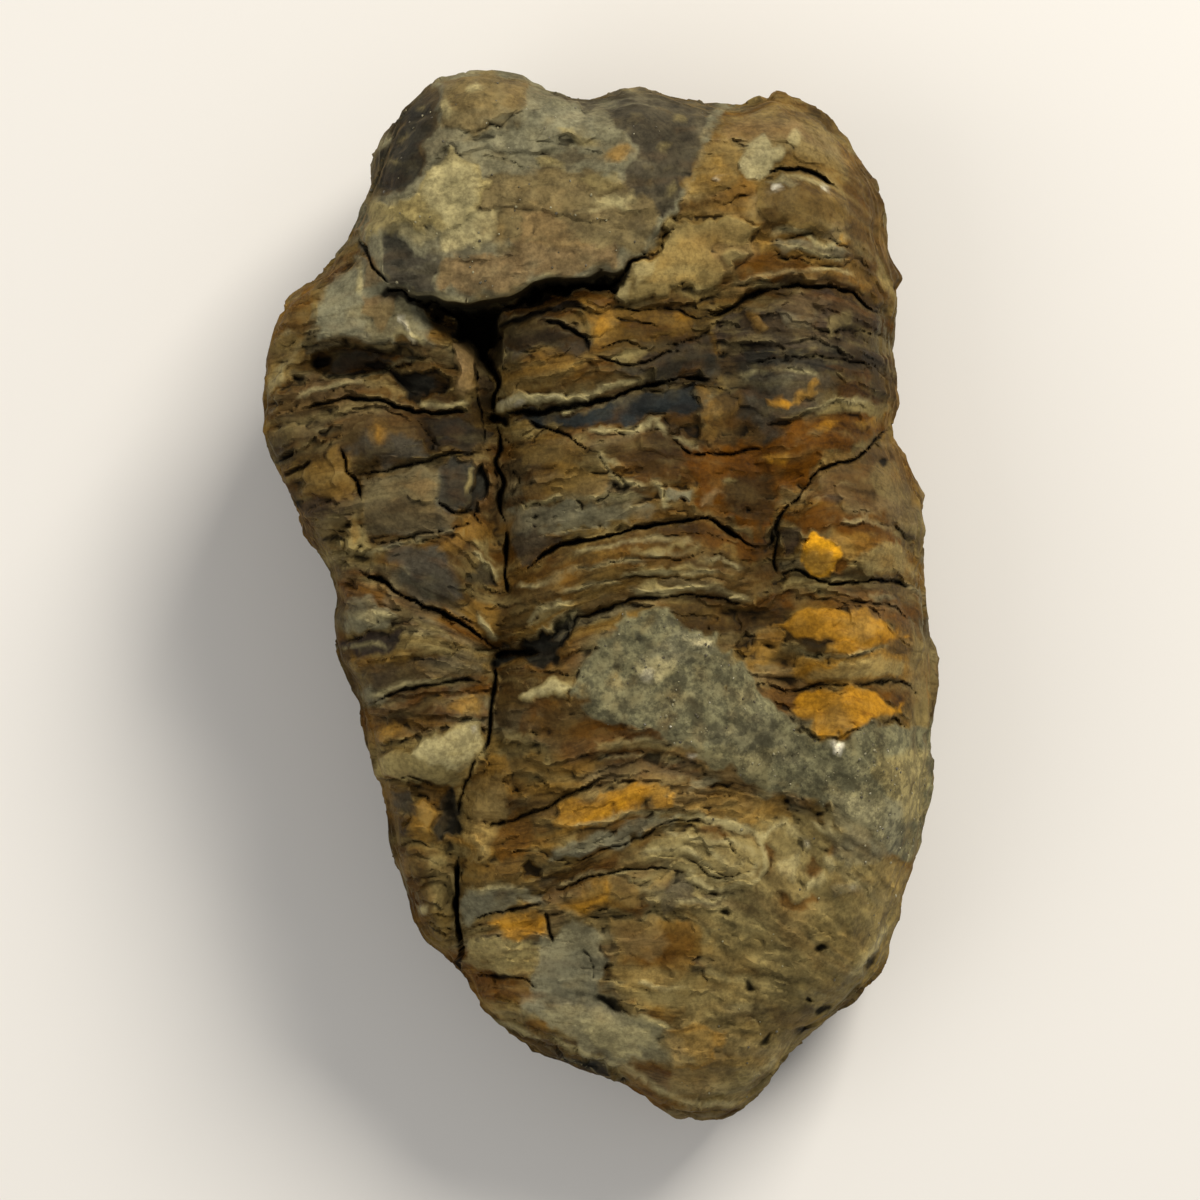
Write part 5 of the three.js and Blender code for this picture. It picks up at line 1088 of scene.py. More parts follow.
# %% Ledges
LEDGES = """
0.45 1.2 0.5 0.3: -5.8 10.3, -4.6 10.7, -3.8 10.7, -2 11, 0 11.3, 2.6 11.8
0.35 0.6 0.4 0.7: -0.4 9, 1.5 8.95, 3.6 9.1
0.3 0.8 0.4 0.5: -4.4 13.6, -2.4 13.5, -1 13.2
0.4 0.6 0.6 0.5: -4.9 15.3, -3 15.7, -0.5 15.8, 0.4 15.6
0.25 0.9 0.4 0.5: -4.6 7.1, -2.4 7.1, -0.6 6.6, 0.6 5.9
0.3 0.8 0.4 0.6: -4.4 5.2, -1 5.4, 1.8 5.5, 3.6 5
0.2 0.4 0.7 0.5: 1 1.3, 2.6 1.5, 4.6 1.6, 7 1.2
0.3 0.4 0.8 0.8: 1.6 0.4, 3.5 0.55, 5.6 0.6, 7 0.3
0.35 0.6 0.6 0.7: -4.1 -4, -3 -3.8, -1.4 -4
0.35 0.8 0.4 0.5: -4.2 -9.4, -1.8 -8.6, 0.8 -8.2, 3.6 -8.2, 5.4 -8.7
0.35 0.8 0.4 0.6: -2.6 -10.9, -0.4 -10, 2 -9.9, 5 -10
0.3 0.6 0.7 0.6: -2.8 -12.6, -0.2 -12.3, 2.6 -11.5, 4.4 -11.2
0.25 0.6 0.6 0.5: 2.8 -14.2, 5.2 -13.3, 7.4 -13.6, 8.8 -14.9
0.2 0.4 0.6 0.4: 4.8 -15.6, 6.4 -15.9, 8.2 -15.8
0.3 0.7 0.5 0.5: -6.9 -14.4, -5.2 -13.8, -3.6 -13.8
0.25 0.6 0.6 0.6: -4.6 -16.2, -3.4 -16, -2.4 -15.6
0.25 0.6 0.6 0.5: 3.4 -17.5, 5.4 -16.9, 7 -16.9
0.25 0.8 0.4 0.5: 0.2 -21.6, 1.6 -21.2, 3.4 -21.7
0.3 0.8 0.5 0.6: -5.6 -23.8, -3.6 -24.4, -1.2 -25.1, 1.4 -25.9, 3 -26.8
0.35 0.5 0.6 0.9: -3.4 -24.8, -1 -25.6, 1.2 -26.4, 3.4 -27.4
0.45 0.6 0.7 0.9: -16 13.9, -13.4 14.3, -11.4 14, -9.2 13.7
0.3 0.6 0.5 0.4: -14.6 5.6, -15.6 5.2, -16.4 5
0.3 0.8 0.4 0.4: -13.9 10.3, -12 10.5, -10 9.6
0.25 0.5 0.5 0.6: -12.6 5.3, -10.6 5.5, -9.4 5.2
0.25 0.8 0.4 0.5: -14.4 -0.2, -12.4 -0.4, -10.4 -1
0.3 0.8 0.4 0.5: -13 -3.4, -10.4 -3, -8 -3.4
0.35 0.6 0.5 0.8: -12.9 -7.9, -10.6 -7.4, -9.4 -6.8, -6.4 -6.2
0.45 0.7 0.4 0.8: -12.6 -9.8, -10.4 -9.7, -8 -10.2
0.35 0.6 0.5 0.7: -11.4 -14.2, -10.2 -13.9, -8.8 -14.5
0.35 0.6 0.6 0.7: -10.6 -16.7, -9.6 -16.5, -8.6 -17
0.35 0.6 0.4 0.6: 10 0, 12.8 0, 15.4 -0.4, 17 -1
0.35 0.7 0.6 0.7: 10.3 -2.5, 12.4 -3, 14.6 -2.7, 16.2 -2.2
0.35 0.8 0.4 0.6: 10.8 -6.6, 12.2 -7.5, 14.6 -6.9, 16.6 -6.2
0.3 0.6 0.4 0.5: 10.4 3.6, 12.8 4.1, 15.4 4.1
0.3 0.8 0.4 0.6: 8.4 9.2, 11 10.2, 13.4 10.9, 15.8 10.5
0.25 0.6 0.4 0.5: 7 14, 9.6 14.1, 12 14.3, 15.8 13.6
0.45 0.8 0.25 0.9: 2 16, 5 16.3, 7.6 17.2, 10.4 17.2, 14.8 17
0.3 0.8 0.5 0.6: 8.4 20.2, 11 20, 13.4 20.4, 14.6 21
0.25 0.6 0.6 0.3: 6.6 25.2, 9 25.1, 11.4 25.4
0.14 0.9 0.2 0: -9.9 21, -7 20.9, -4.4 21.4, -1 20.6, 1.6 20.9
0.12 0.7 0.2 0: -9 18.8, -6.4 18.5, -3 18.8, 0.2 19.2
"""
for settings, path in rows_of(LEDGES):
    ledge(path, *numbers_in(settings))
print("ledges raised, highest mm:", round(relief.max(), 2))

# %% [markdown]
# ## Laminae
# Some beds are split into leaves half a millimetre thick. The bed number less its whole leaves is a
# sawtooth, which tilts each leaf, darkens the step to the next with painted shade and paints its crest pale
# with wear and painted highlight. A row gives a strength and an outline.

# %% Laminae
LAMINAE = """
1: -4.8 1, -1 3.2, 4 4.2, 6.4 3.9, 9 2.4, 8.8 0.2, 4 0.2, 0 -0.6, -3.6 -0.4
0.8: -3 -17.4, -2.4 -12.8, 4 -10.8, 9 -12, 9 -15, 7.6 -17.2, 3 -17.4
1: 8.8 20, 12 20.2, 15.6 19.4, 16 17.2, 12 17.4, 8 17.8
0.7: 6.6 15, 8.4 16.2, 12 16.8, 15.6 16.2, 16.6 12, 10 11.4, 7 12.4
0.9: -6 -23.4, 1 -26, 4.4 -27.2, 9 -26, 9 -29, 3 -29, -4 -26.4
0.7: 9 -12, 12.6 -12, 16.8 -15, 16.6 -18.4, 13.4 -22, 9 -26, 5 -26.6, 6 -21, 6 -17.8, 9.4 -16
0.6: -7 -22, 0.6 -25.4, 3.6 -23.4, 0 -21, -3 -18, -7.4 -18
0.7: -15 -1, -10 -1.2, -6.4 -3, -6.4 -6.4, -13 -7.4
0.6: -5.4 16.2, 5 16.2, 6.4 14.4, 2 12.8, -0.4 13.6, -5.4 15
"""
LEAF = 0.5
leaf = beds / LEAF + 0.5 * rough(bent_x, 3 * bent_y, size=2.4, seed=84)
leaf = leaf + 0.25 * noise(bent_x, beds, size=0.6, seed=85)
leaf_shade = chance(np.floor(leaf).astype(np.int64), np.zeros(leaf.shape), np.zeros(leaf.shape), 86)
leaf = leaf - np.floor(leaf)
banded = np.zeros_like(map_x)
for strength, outline in rows_of(LAMINAE):
    window, depth = inside(outline)
    here = float(strength) * soft(depth / 1.2 + 0.3) * np.clip(0.6 + uneven[window], 0, 1)
    relief[window] += 0.12 * here * (leaf[window] - 0.5)
    banded[window] += here * leaf_shade[window]
    # Painted shade on each step, and wear with painted highlight on each crest.
    at_least(dirt_and_shade, 0.36 * here * soft(1 - leaf[window] / 0.25), window)
    at_least(wear_and_sheen, 0.36 * here * soft((leaf[window] - 0.75) / 0.2), window)
print(len(rows_of(LAMINAE)), "sets of laminae cut")

# %% [markdown]
# ## Rubbed and highlighted edges
# Handling has worn the sharpest edges down to pale calcite, and the pale lines are painted highlights as
# well. A thin line of bone colour that stands out by a hair is enough. A row gives a width, a share and a
# path.

# %% Rubbed edges with painted highlights
EDGES = """
0.14 1: -5.8 10.35, -5.1 10.6, -4.5 11, -3.8 10.85, -2.4 11.1, -0.6 11.3, 1 11.75, 2.6 12
0.13 0.8: -0.5 9.2, 1 9.15, 2.6 9.25, 3.5 9.3
0.1 0.8: 3.8 8.8, 4.7 8.5, 5.5 8.2
0.12 0.8: -0.2 7.9, 0.3 7.2, 0.7 6.5, 1.6 6.1, 2.5 5.95
0.16 0.9: 2.8 6.4, 3.3 5.9, 3.6 5.2, 3.5 4.9
0.12 0.8: -4.6 5.1, -2 5.4, 0.6 5.5, 2.4 5.4
0.14 0.9: 1.6 0.55, 3 0.45, 4.4 0.65, 5.6 0.7, 6.8 0.4, 8.2 0.1
0.1 0.8: 1.2 1.3, 2.6 1.45, 4.4 1.5, 6.2 1.35
0.1 0.8: 2.6 2.5, 4 2.6, 5.4 2.8
0.1 0.6: 5.2 2, 6.6 2, 7.6 1.7
0.1 0.6: -3 1.1, -1 1.7, 1 2.1, 2.6 2.1
0.1 0.6: -2.2 0.4, -0.6 0.9, 1 1.05
0.12 0.5: -1.6 2.5, 0.6 3, 2.2 3.1
0.1 0.6: 1.6 3.2, 3.4 3.3, 5 3.2
0.14 0.8: -3.9 -1.4, -3.5 -0.7, -2.8 -0.3, -1.6 -0.05
0.16 0.8: -3.3 -1.8, -2.2 -1.2, -1.2 -0.6
0.1 0.7: -4.6 0.6, -3.4 0.8, -1.8 1.2
0.12 0.5: -9.4 16.45, -7.6 16.2, -6 16.1, -4.7 16.15, -3.4 17.05, -2.2 17.7
0.12 0.6: 9.4 22.9, 10.2 23.25, 11.4 22.9, 12.4 22.5
0.12 0.7: 9.2 19.9, 10.6 20, 12.2 19.5, 13.6 20
0.1 0.6: 9.8 19.1, 11.6 19, 13.2 18.8
0.1 0.6: 11.2 17.9, 12.6 18.2, 13.8 17.9
0.1 0.7: -16.7 11, -15 11.5, -13.4 11.9, -12.8 12
0.12 0.7: -9.9 10.7, -8.6 10.6, -7.3 10.7
0.14 0.8: -11.6 14.3, -10.4 14.5, -9.4 13.9
0.1 0.6: -15.4 12.2, -13.4 12.3, -11.6 12.7, -9.8 13.2
0.14 0.7: -13.3 18.4, -13.2 17.6, -13 16.9
0.12 0.6: -18 12.4, -16.9 13.4, -16.3 14.2
0.1 0.9: -6.9 2.6, -6.2 2.1, -5.7 1.1
0.14 0.8: -6.5 -0.9, -6.1 -1.3, -5.9 -1.9
0.1 0.5: -13.2 2.7, -11.4 2.9, -9.4 3.3
0.12 0.6: -13.6 -1, -12.2 -0.7, -10.8 -1.1
0.1 0.5: -14.2 -2.9, -12.8 -2.4, -11.6 -2.6
0.12 0.6: -12.6 -5.2, -10.4 -4.6, -8 -4.3
0.12 0.5: -9.4 -7, -7.8 -6.7, -6.5 -6.5
0.14 0.8: 5.2 -11.6, 6.6 -11.9, 8.2 -12.5, 9 -13.2
0.14 0.6: 3.4 -12.6, 5.2 -13, 7.4 -13.2, 8.6 -14
0.16 0.8: 4.8 -14.7, 5.4 -15.5, 6.6 -15.8, 8 -15.5
0.12 0.7: 4.2 -16.7, 5.8 -16.4, 7.4 -16.2
0.12 0.5: 2.2 -13.9, 4.6 -13.6, 5.4 -14.2
0.16 0.9: 5.9 -13.2, 6.4 -14, 7.2 -14.6, 7.8 -14.2
0.12 0.7: 4.8 -13.4, 5.6 -14.5, 6.6 -15.2, 8 -15.1, 8.7 -14.2
0.12 0.7: 8.5 -12.9, 9 -13.8, 8.9 -15, 8.1 -15.7
0.12 0.6: -1.8 -12.5, 0 -12, 2 -11.7, 4 -11.5
0.12 0.6: -2.6 -15.8, -0.8 -15.2, 1.6 -15
0.12 0.5: -7.2 -16.1, -5.4 -15.9, -4 -16.2
0.12 0.5: 0.4 -7.9, 2.4 -7.5, 4.8 -7.8
0.12 0.5: -0.4 -8.6, 2 -8.4, 4.6 -8.6
0.16 0.6: -3 -24.3, -0.6 -25.2, 1.6 -26, 3.6 -27.2, 5.4 -28, 8 -28.2
0.14 0.6: -6.6 -23, -4.6 -23.9, -3.2 -24.5
0.16 0.7: 13.6 -20.9, 14.8 -19.7, 16.2 -18.2
0.14 0.6: 8.4 -26.6, 9.2 -25.9, 9.8 -25.2
0.14 0.9: 1.6 -22.8, 2.6 -22.9, 3.9 -23.4
0.12 0.6: 2 -21, 3.4 -21.3, 4.6 -21.2
0.12 0.5: 10.4 -2.6, 12 -3, 14 -2.8, 16 -2.2
0.12 0.5: 13 4.2, 14.8 4.3, 16.2 3.7
0.12 0.6: 11 10.2, 13 10.9, 15 11.1
0.12 0.5: 7.6 12.2, 9.6 12.5, 12 12.4
0.12 0.3: 6.8 17, 9 17.6, 12 17.9
"""
for settings, path in rows_of(EDGES):
    width, share = numbers_in(settings)
    window, away, _, ends = near_line(path, 4 * width)
    edge = share * soft(2 * ends) * soft(1.5 - away / width) * np.clip(0.9 + 0.6 * uneven[window], 0.2, 1)
    paint(window, edge, "bone")
    relief[window] += 0.06 * edge
    at_least(wear_and_sheen, 0.8 * edge, window)
print(len(rows_of(EDGES)), "edges rubbed")

# %% [markdown]
# ## Pits
# Grains have fallen out, mostly from the tail. Each pit is a small oval: its middle, its half length, its
# half width and its turn in degrees.

# %% Pits
PITS = """
1.2 6 0.5 0.2 -20, 15.7 7.6 0.45 0.3 20, 6.9 13.35 0.5 0.2 -20, 0.7 -22.2 1 0.3 -25,
8.1 -21.1 0.4 0.25 -20, 11.6 -22 0.25 0.3 0, 12.1 -19.2 0.5 0.25 10, 14.9 -20.1 0.6 0.3 40,
12.4 -22.8 0.6 0.35 20, 11.4 -23.9 0.6 0.25 10, 9 -24.2 0.5 0.22 30, 10.4 -11.1 0.35 0.25 -10,
12.3 -11.8 0.35 0.2 0, 7 -17.1 0.4 0.22 -20, -16.6 12 0.35 0.25 0, -14.5 3.3 0.45 0.2 0,
-16.6 5.4 0.4 0.3 40, 8.1 4.8 0.3 0.2 0, 9.4 -2.7 0.4 0.2 -10, -0.8 -25.8 1 0.2 -15,
0.7 -26.7 0.6 0.2 -10, 5.2 -12 0.8 0.15 -10, -3.4 4.4 0.3 0.15 0, 16.6 16.2 0.4 0.3 20,
-15.4 13 0.7 0.35 10, -12.2 12.9 0.9 0.25 -8
"""
PIT_DEPTH = 0.4
for spot in PITS.split(","):
    window, depth = inside_oval(spot)
    relief[window] -= PIT_DEPTH * soft(depth / 0.25 + 0.3)
    # The dark in each pit is painted shade and dirt.
    at_least(dirt_and_shade, 0.85 * soft(depth / 0.25 + 0.35), window)
print(PITS.count(",") + 1, "pits")

# %% [markdown]
# ## The relief is put together
# Flakes and chips show where no plate hides them. The matrix, the slab and the right of the tail have
# grains and crumbs instead. Then what lies deeper than its surroundings gets dirt and painted shade, and
# what stands out is painted pale, as rubbed wear and painted highlight.

# %% Put the relief together
TAIL_RIGHT = (
    "5.6 -11.4, 9 -10.8, 12 -12, 18 -15, 18 -18, 14 -22, 9 -29, 4 -28, 3.4 -24, 5.6 -21, 5.4 -17.4,"
    "9.4 -15"
)
in_matrix = soft(on_whole_map(MATRIX) / 0.4 + 0.5)
in_slab = soft(slab_inside / 0.3 + 0.5)
in_tail = soft(on_whole_map(TAIL_RIGHT) / 1.5 + 0.5)
grainy = np.maximum(np.maximum(in_matrix, 0.8 * in_slab), 0.35 * in_tail)
relief += (flaked + chipped) * (1 - 0.85 * calm)
relief += 0.1 * rough(map_x, map_y, size=2.4, octaves=5, seed=82)
turned_x, turned_y = bent_x + 0.35 * bent_y, bent_y - 0.35 * bent_x
relief += 0.14 * in_slab * rough(turned_x / 2.6, turned_y / 0.9, size=1.0, octaves=3, seed=83)
crumbs, crumb_border, crumb_tint = chips(bent_x + ragged_x, bent_y + ragged_y, size=1.5, seed=90)
relief += 0.1 * np.maximum(in_tail, 0.7 * in_matrix) * crumbs * soft(crumb_border / 0.2)
grains = rough(map_x, map_y, size=0.5, octaves=2, seed=80)
relief += 0.07 * grainy * grains
at_least(dirt_and_shade, 0.35 * joints * (1 - calm))
specks = rough(map_x, map_y, size=0.45, octaves=3, seed=86)
at_least(dirt_and_shade, 0.5 * soft((specks - 0.8) / 0.2) * (0.25 + 0.75 * in_slab))
# Dips get dirt and painted shade; rises get wear and painted highlight.
dip = blurred(relief, 0.3) - relief
at_least(dirt_and_shade, 0.5 * soft((dip - 0.12) / 0.24))
at_least(wear_and_sheen, 0.3 * soft((-dip - 0.06) / 0.15))
print("relief from", round(relief.min(), 1), "to", round(relief.max(), 1), "mm")

# %% [markdown]
# ## Light and dark
# Pigments are even, and stone isn't. Light and dark grains, the tint of each flake and slow changes make
# one shade, which multiplies all the colours.

# %% Shade of the grains and flakes
CRUMBLY = "8 -11.8, 13 -12, 13.8 -15, 12 -17, 9 -16.6, 7.8 -14"
salt = soft((rough(map_x, map_y, size=0.55, octaves=2, seed=87) - 0.2) / 0.6)
pepper = soft((rough(map_x, map_y, size=0.6, octaves=2, seed=88) - 0.2) / 0.6)
shade = 1 + 0.2 * tint + 0.1 * rough(map_x, map_y, size=3.0, octaves=3, seed=110)
shade += (0.09 + 0.09 * grainy) * rough(map_x, map_y, size=0.9, octaves=3, seed=111)
shade += 0.05 * in_tail * crumb_tint + 0.25 * banded
crumbly = soft(on_whole_map(CRUMBLY) / 0.8 + 0.5)
shade += (0.08 + 0.6 * grainy + 0.4 * crumbly) * (0.42 * salt - 0.36 * pepper)
print("shade from", round(shade.min(), 2), "to", round(shade.max(), 2))

# %% [markdown]
# ## Darker and paler patches
# Broad patches are made darker or paler. They are partly the stone's own tone and partly painted light and
# shade: the paler tail and the paler strip along the slab's front edge make up for slopes that face away
# from the lamp. A row gives the factor and the outline, whose border is so soft that only the tone shows.

# %% Darker and paler patches, partly painted light and shade
TONE_AND_LIGHT_PATCHES = """
0.6: 2.2 10.8, 5.6 11, 6 8.6, 5.4 7, 2.4 7.2
0.68: 0.6 13.4, 3.4 13.6, 6.4 14.2, 6.8 12.2, 5.4 10.8, 0.8 10.6
0.55: 0.6 16.4, 5.8 16.2, 6.4 14.4, 3.4 13.6, 0.6 13.6
0.68: -3.6 16.2, -0.4 16.2, -0.6 13.6, -3.6 13.6
0.72: 6.6 7.6, 9.4 7.8, 9.4 2, 7 2
0.5: -9.8 10.6, -6.6 10.6, -6.4 7.8, -9.4 7.6
0.8: 6.8 13.6, 9.6 13.6, 9.6 10.6, 6.8 10.6
0.75: 12.4 13.8, 15.8 13.6, 15.8 10.6, 12.4 10.6
0.8: 12.6 10.2, 16.4 10.2, 17 5, 12.8 4.8
0.82: -3.6 10.4, -0.4 10.4, -0.4 1.6, -3.6 1.6
0.75: -15.6 13.6, -12.6 13.4, -12.4 10.6, -15.4 10.6
0.94: -11.6 7.6, -6.4 7.6, -6.4 4.6, -11.4 4.6
0.8: -9.6 1.4, -2.6 1.4, -2.6 -1.4, -9.4 -1.4
0.85: 0.4 -1.6, 3.6 -1.4, 3.6 -4.4, 0.4 -4.4
0.78: -3.4 -4.6, -0.6 -5.4, -0.4 -7.4, -3.4 -7.4
0.62: -5.6 -7.6, -2.4 -7.6, -2.4 -10.4, -5.6 -10.4
0.8: -5.6 -13.6, -2.4 -13.8, -2.4 -16.4, -5.6 -16.2
0.8: -2 -15, 2.6 -15, 2.6 -16.8, -2 -16.8
1.2: 3.4 -8.6, 6 -8.8, 6 -12.8, 3.4 -12.6
0.82: 6.6 -16.6, 10 -16.6, 10 -19.6, 6.6 -19.6
0.85: -3 -19.6, -0.8 -19.6, -0.8 -22.4, -3 -22.4
1.3: -8.6 -10.6, -6.4 -10.6, -6.4 -13.4, -8.6 -13.4
0.72: -11 -10.6, -9.2 -10.6, -9.2 -13.2, -10.8 -13.2
1.2: 0.8 -19.8, 3.4 -19.8, 3.4 -22.4, 0.8 -22.4
1.2: -5.4 -19.8, -3.2 -19.8, -3.2 -22.4, -5.4 -22.4
0.78: 8.6 25.6, 11.8 25.4, 11.6 22.6, 8.6 22.6
1.2: -14.8 16.8, -11.6 16.4, -9 15.2, -8.7 13.9, -11.4 14, -14.8 14.6
0.85: -9.6 24.6, -6.4 24.2, -6 20, -8 19.2, -9.8 20.6
0.75: 5.2 25.2, 8 25, 7.6 22.4, 4.8 22.2
0.88: 8.8 -13, 12.4 -13, 12.4 -16.4, 9 -16.2
0.72: 7.6 -21.4, 11.4 -21.2, 11 -24, 8 -24
0.8: 2.8 4, 6.4 4, 6.6 1.8, 2.8 1.8
1.2: 0.6 1.2, 3.6 1.2, 3.6 -0.6, 0.6 -0.6
1.2: 2.6 -7.8, 5.6 -7.8, 5.6 -10, 2.6 -10
1.2: -3.6 -22.8, -0.4 -22.8, -0.4 -25.2, -3.4 -25
0.86: 12.6 -15.6, 15.6 -15.6, 15 -18.6, 12.6 -18.6
0.86: 1 -17.2, 5.4 -17.2, 5.6 -20.6, 1 -20.6
0.72: -13.6 -1.4, -10.6 -1.4, -10.6 -3.4, -13.4 -3.2
0.75: -11.4 -4.8, -7.8 -4.8, -7.8 -6.8, -11.4 -6.6
1.25: 12.4 -2.8, 15.4 -2.8, 15.4 -4.6, 12.2 -4.6
1.2: -3.6 9.2, -1.2 9.2, -1.2 6.6, -3.6 6.6
1.2: 14.2 7.2, 16.6 7.2, 16.8 4.6, 14 4.8
1.15: -4.8 22.8, -1.2 22.8, -1.2 20, -4.8 20
1.2: -6.4 19.2, 0 19.4, 0 17.4, -3.6 16.8, -6.2 16.6
1.2: -5 -3.9, -1.6 -3.6, -2.2 -6.2, -5 -6.2
1.15: 8.6 10.8, 11.4 11, 11.4 9.2, 8.6 9.2
0.8: 0.6 22.6, 3.4 21.6, 3.2 19.6, 0.6 19.6
0.85: -3.4 25.6, 1 25.4, 0.8 22.8, -3.4 22.6
"""
# Each patch multiplies the shade: the stone's own tone, and painted light and shade.
for factor, outline in rows_of(TONE_AND_LIGHT_PATCHES):
    window, depth = inside(outline)
    shade[window] *= 1 + (float(factor) - 1) * soft(depth / 1.2 + 0.5)
DARKEST, LIGHTEST = 0.35, 1.8
ground *= np.clip(shade, DARKEST, LIGHTEST)[..., None]
vein *= np.clip(shade, DARKEST, LIGHTEST)[..., None]
grain_room = np.maximum(in_matrix, np.maximum(0.3 * in_slab, 0.12 * in_tail)) * soft(0.5 + 1.5 * uneven)
grit = np.maximum(np.maximum(in_matrix, 0.65 * in_slab), np.maximum(0.6 * calm, 0.7 * in_tail))
print("map done,", clock())


# %% [markdown]
# ## Tools for the skin
# Modifiers remesh and subdivide, and numpy moves points faster than a loop would. A modifier needs an
# object to sit on, so a carrier is made, evaluated and thrown away, which leaves a plain mesh.


# %% Change and read a mesh
def put(name, data):
    """A new object in the scene, at the origin."""
    thing = bpy.data.objects.new(name, data)
    bpy.context.scene.collection.objects.link(thing)
    return thing


def with_modifier(mesh, kind, **settings):
    """A new mesh: the old one with one modifier applied."""
    carrier = put("carrier", mesh)
    modifier = carrier.modifiers.new(kind.lower(), kind)
    for name, value in settings.items():
        setattr(modifier, name, value)
    evaluated = carrier.evaluated_get(bpy.context.evaluated_depsgraph_get())
    result = bpy.data.meshes.new_from_object(evaluated)
    bpy.data.objects.remove(carrier)
    return result


def points_of(mesh):
    """The mesh's points in millimetres."""
    flat = np.empty(3 * len(mesh.vertices))
    mesh.vertices.foreach_get("co", flat)
    return 1000.0 * flat.reshape(-1, 3)


def normals_of(mesh):
    flat = np.empty(3 * len(mesh.vertices), np.float32)
    mesh.vertex_normals.foreach_get("vector", flat)
    return flat.reshape(-1, 3).astype(float)


def move_points(mesh, points):
    mesh.vertices.foreach_set("co", (points / 1000.0).ravel())
    mesh.update()


def edges_of(mesh):
    flat = np.empty(2 * len(mesh.edges), np.int32)
    mesh.edges.foreach_get("vertices", flat)
    return flat.reshape(-1, 2)


def neighbours_mean(values, edges):
    """For each point, the mean of a value over the points that it shares an edge with."""
    a, b = edges.T
    count = np.bincount(a, minlength=len(values)) + np.bincount(b, minlength=len(values))
    columns = []
    for column in values.reshape(len(values), -1).T:
        columns.append(np.bincount(a, column[b], len(values)) + np.bincount(b, column[a], len(values)))
    return (np.stack(columns, 1) / count[:, None]).reshape(values.shape)


def on_skin(values, points):
    """The map's value under each point."""
    across = (points[:, 0] - grid_x[0]) / SPACING
    along = (points[:, 1] - grid_y[0]) / SPACING
    i = np.clip(across.astype(int), 0, len(grid_x) - 2)
    j = np.clip(along.astype(int), 0, len(grid_y) - 2)
    s, t = across - i, along - j
    if values.ndim == 3:
        s, t = s[:, None], t[:, None]
    low = values[j, i] * (1 - s) + values[j, i + 1] * s
    high = values[j + 1, i] * (1 - s) + values[j + 1, i + 1] * s
    return low * (1 - t) + high * t


print("tools for the skin ready")

# %% [markdown]
# ## A fine, even skin
# The solid's facets are a millimetre wide, and a voxel remesh turns a copy into even quads. The slab's rear
# edge is lifted level with its top, because it stands over the gap as a sheer wall, and remeshed. Averaging
# each point with its neighbours rounds the facets but shrinks the stone, so each step in is followed by a
# smaller step out.

# %% Remesh, lift the slab's edge and round
VOXEL = 0.00025
SLAB_TOP = 20.0
SLAB_BEND, SLAB_FALL = -8.5, 0.25  # left of the bend the top falls by this much a millimetre
LIFTED_STRIP, WALL = 2.0, 0.12
LIFTED_FROM, LIFTED_TO = -12.6, 19.6  # from this place across, and up to this one along the stone
FLANK_TOP = 12.0
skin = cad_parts["trilobite"].data.copy()
merged = bmesh.new()
merged.from_mesh(skin)
bmesh.ops.remove_doubles(merged, verts=merged.verts, dist=1e-6)
merged.to_mesh(skin)
merged.free()
skin = with_modifier(skin, "REMESH", mode="VOXEL", voxel_size=VOXEL)
points = points_of(skin)
from_edge = on_skin(slab_inside, points)
front = soft(from_edge / WALL) * soft(LIFTED_STRIP - from_edge) * on_skin(slab_left, points)
front *= points[:, 2] > FLANK_TOP
front *= soft(LIFTED_TO - points[:, 1]) * soft((points[:, 0] - LIFTED_FROM) / 1.2)
slab_top = SLAB_TOP - SLAB_FALL * np.maximum(SLAB_BEND - points[:, 0], 0)
lift = front * np.maximum(slab_top - points[:, 2], 0)
points[:, 2] += lift
move_points(skin, points)
skin = with_modifier(skin, "REMESH", mode="VOXEL", voxel_size=VOXEL)
print("slab's edge lifted by up to", round(lift.max(), 1), "mm")

ROUNDS, STEP_IN, STEP_OUT = 8, 0.6, 0.3
edges = edges_of(skin)
points = points_of(skin)
for _ in range(ROUNDS):
    points = points + STEP_IN * (neighbours_mean(points, edges) - points)
    points = points - STEP_OUT * (neighbours_mean(points, edges) - points)
move_points(skin, points)
skin = with_modifier(skin, "SUBSURF", levels=1, render_levels=1)
print("skin:", len(skin.vertices), "points,", clock())

# %% [markdown]
# ## Carving
# The map lies on the back like a sheet: where the skin faces up, its points rise and sink by the relief. A
# map would smear down the steep sides and the belly, so they get chips and layers from noise in space. The
# belly is only carved inwards, so that the stone lies flat.


# %% Lay the map on the skin
def stone_skin(points, facing):
    """How far the chips, lumps and layers of the sides stand out."""
    x, y, z = points.T
    coarse, coarse_border, _ = chips(x, y, 1.6 * z, size=4.4, seed=200)
    fine, fine_border, _ = chips(x, y, 2.0 * z, size=1.3, seed=210)
    layer = z / 1.1 + 0.5 * noise(x, y, z, size=4.0, seed=220) + 0.12 * noise(x, y, z, size=1.0, seed=221)
    number = np.floor(layer)
    strength = soft(0.4 + 0.8 * noise(x, y, 9.1 * number, size=3.0, seed=222))
    layers = strength * ((layer - number) ** 1.5 - 0.4)
    out = 0.5 * coarse * soft(coarse_border / 0.2) + 0.13 * fine * soft(fine_border / 0.3)
    out += 0.3 * layers * (1 - np.abs(facing)) + 0.16 * rough(x, y, z, size=2.2, octaves=4, seed=230)
    return out


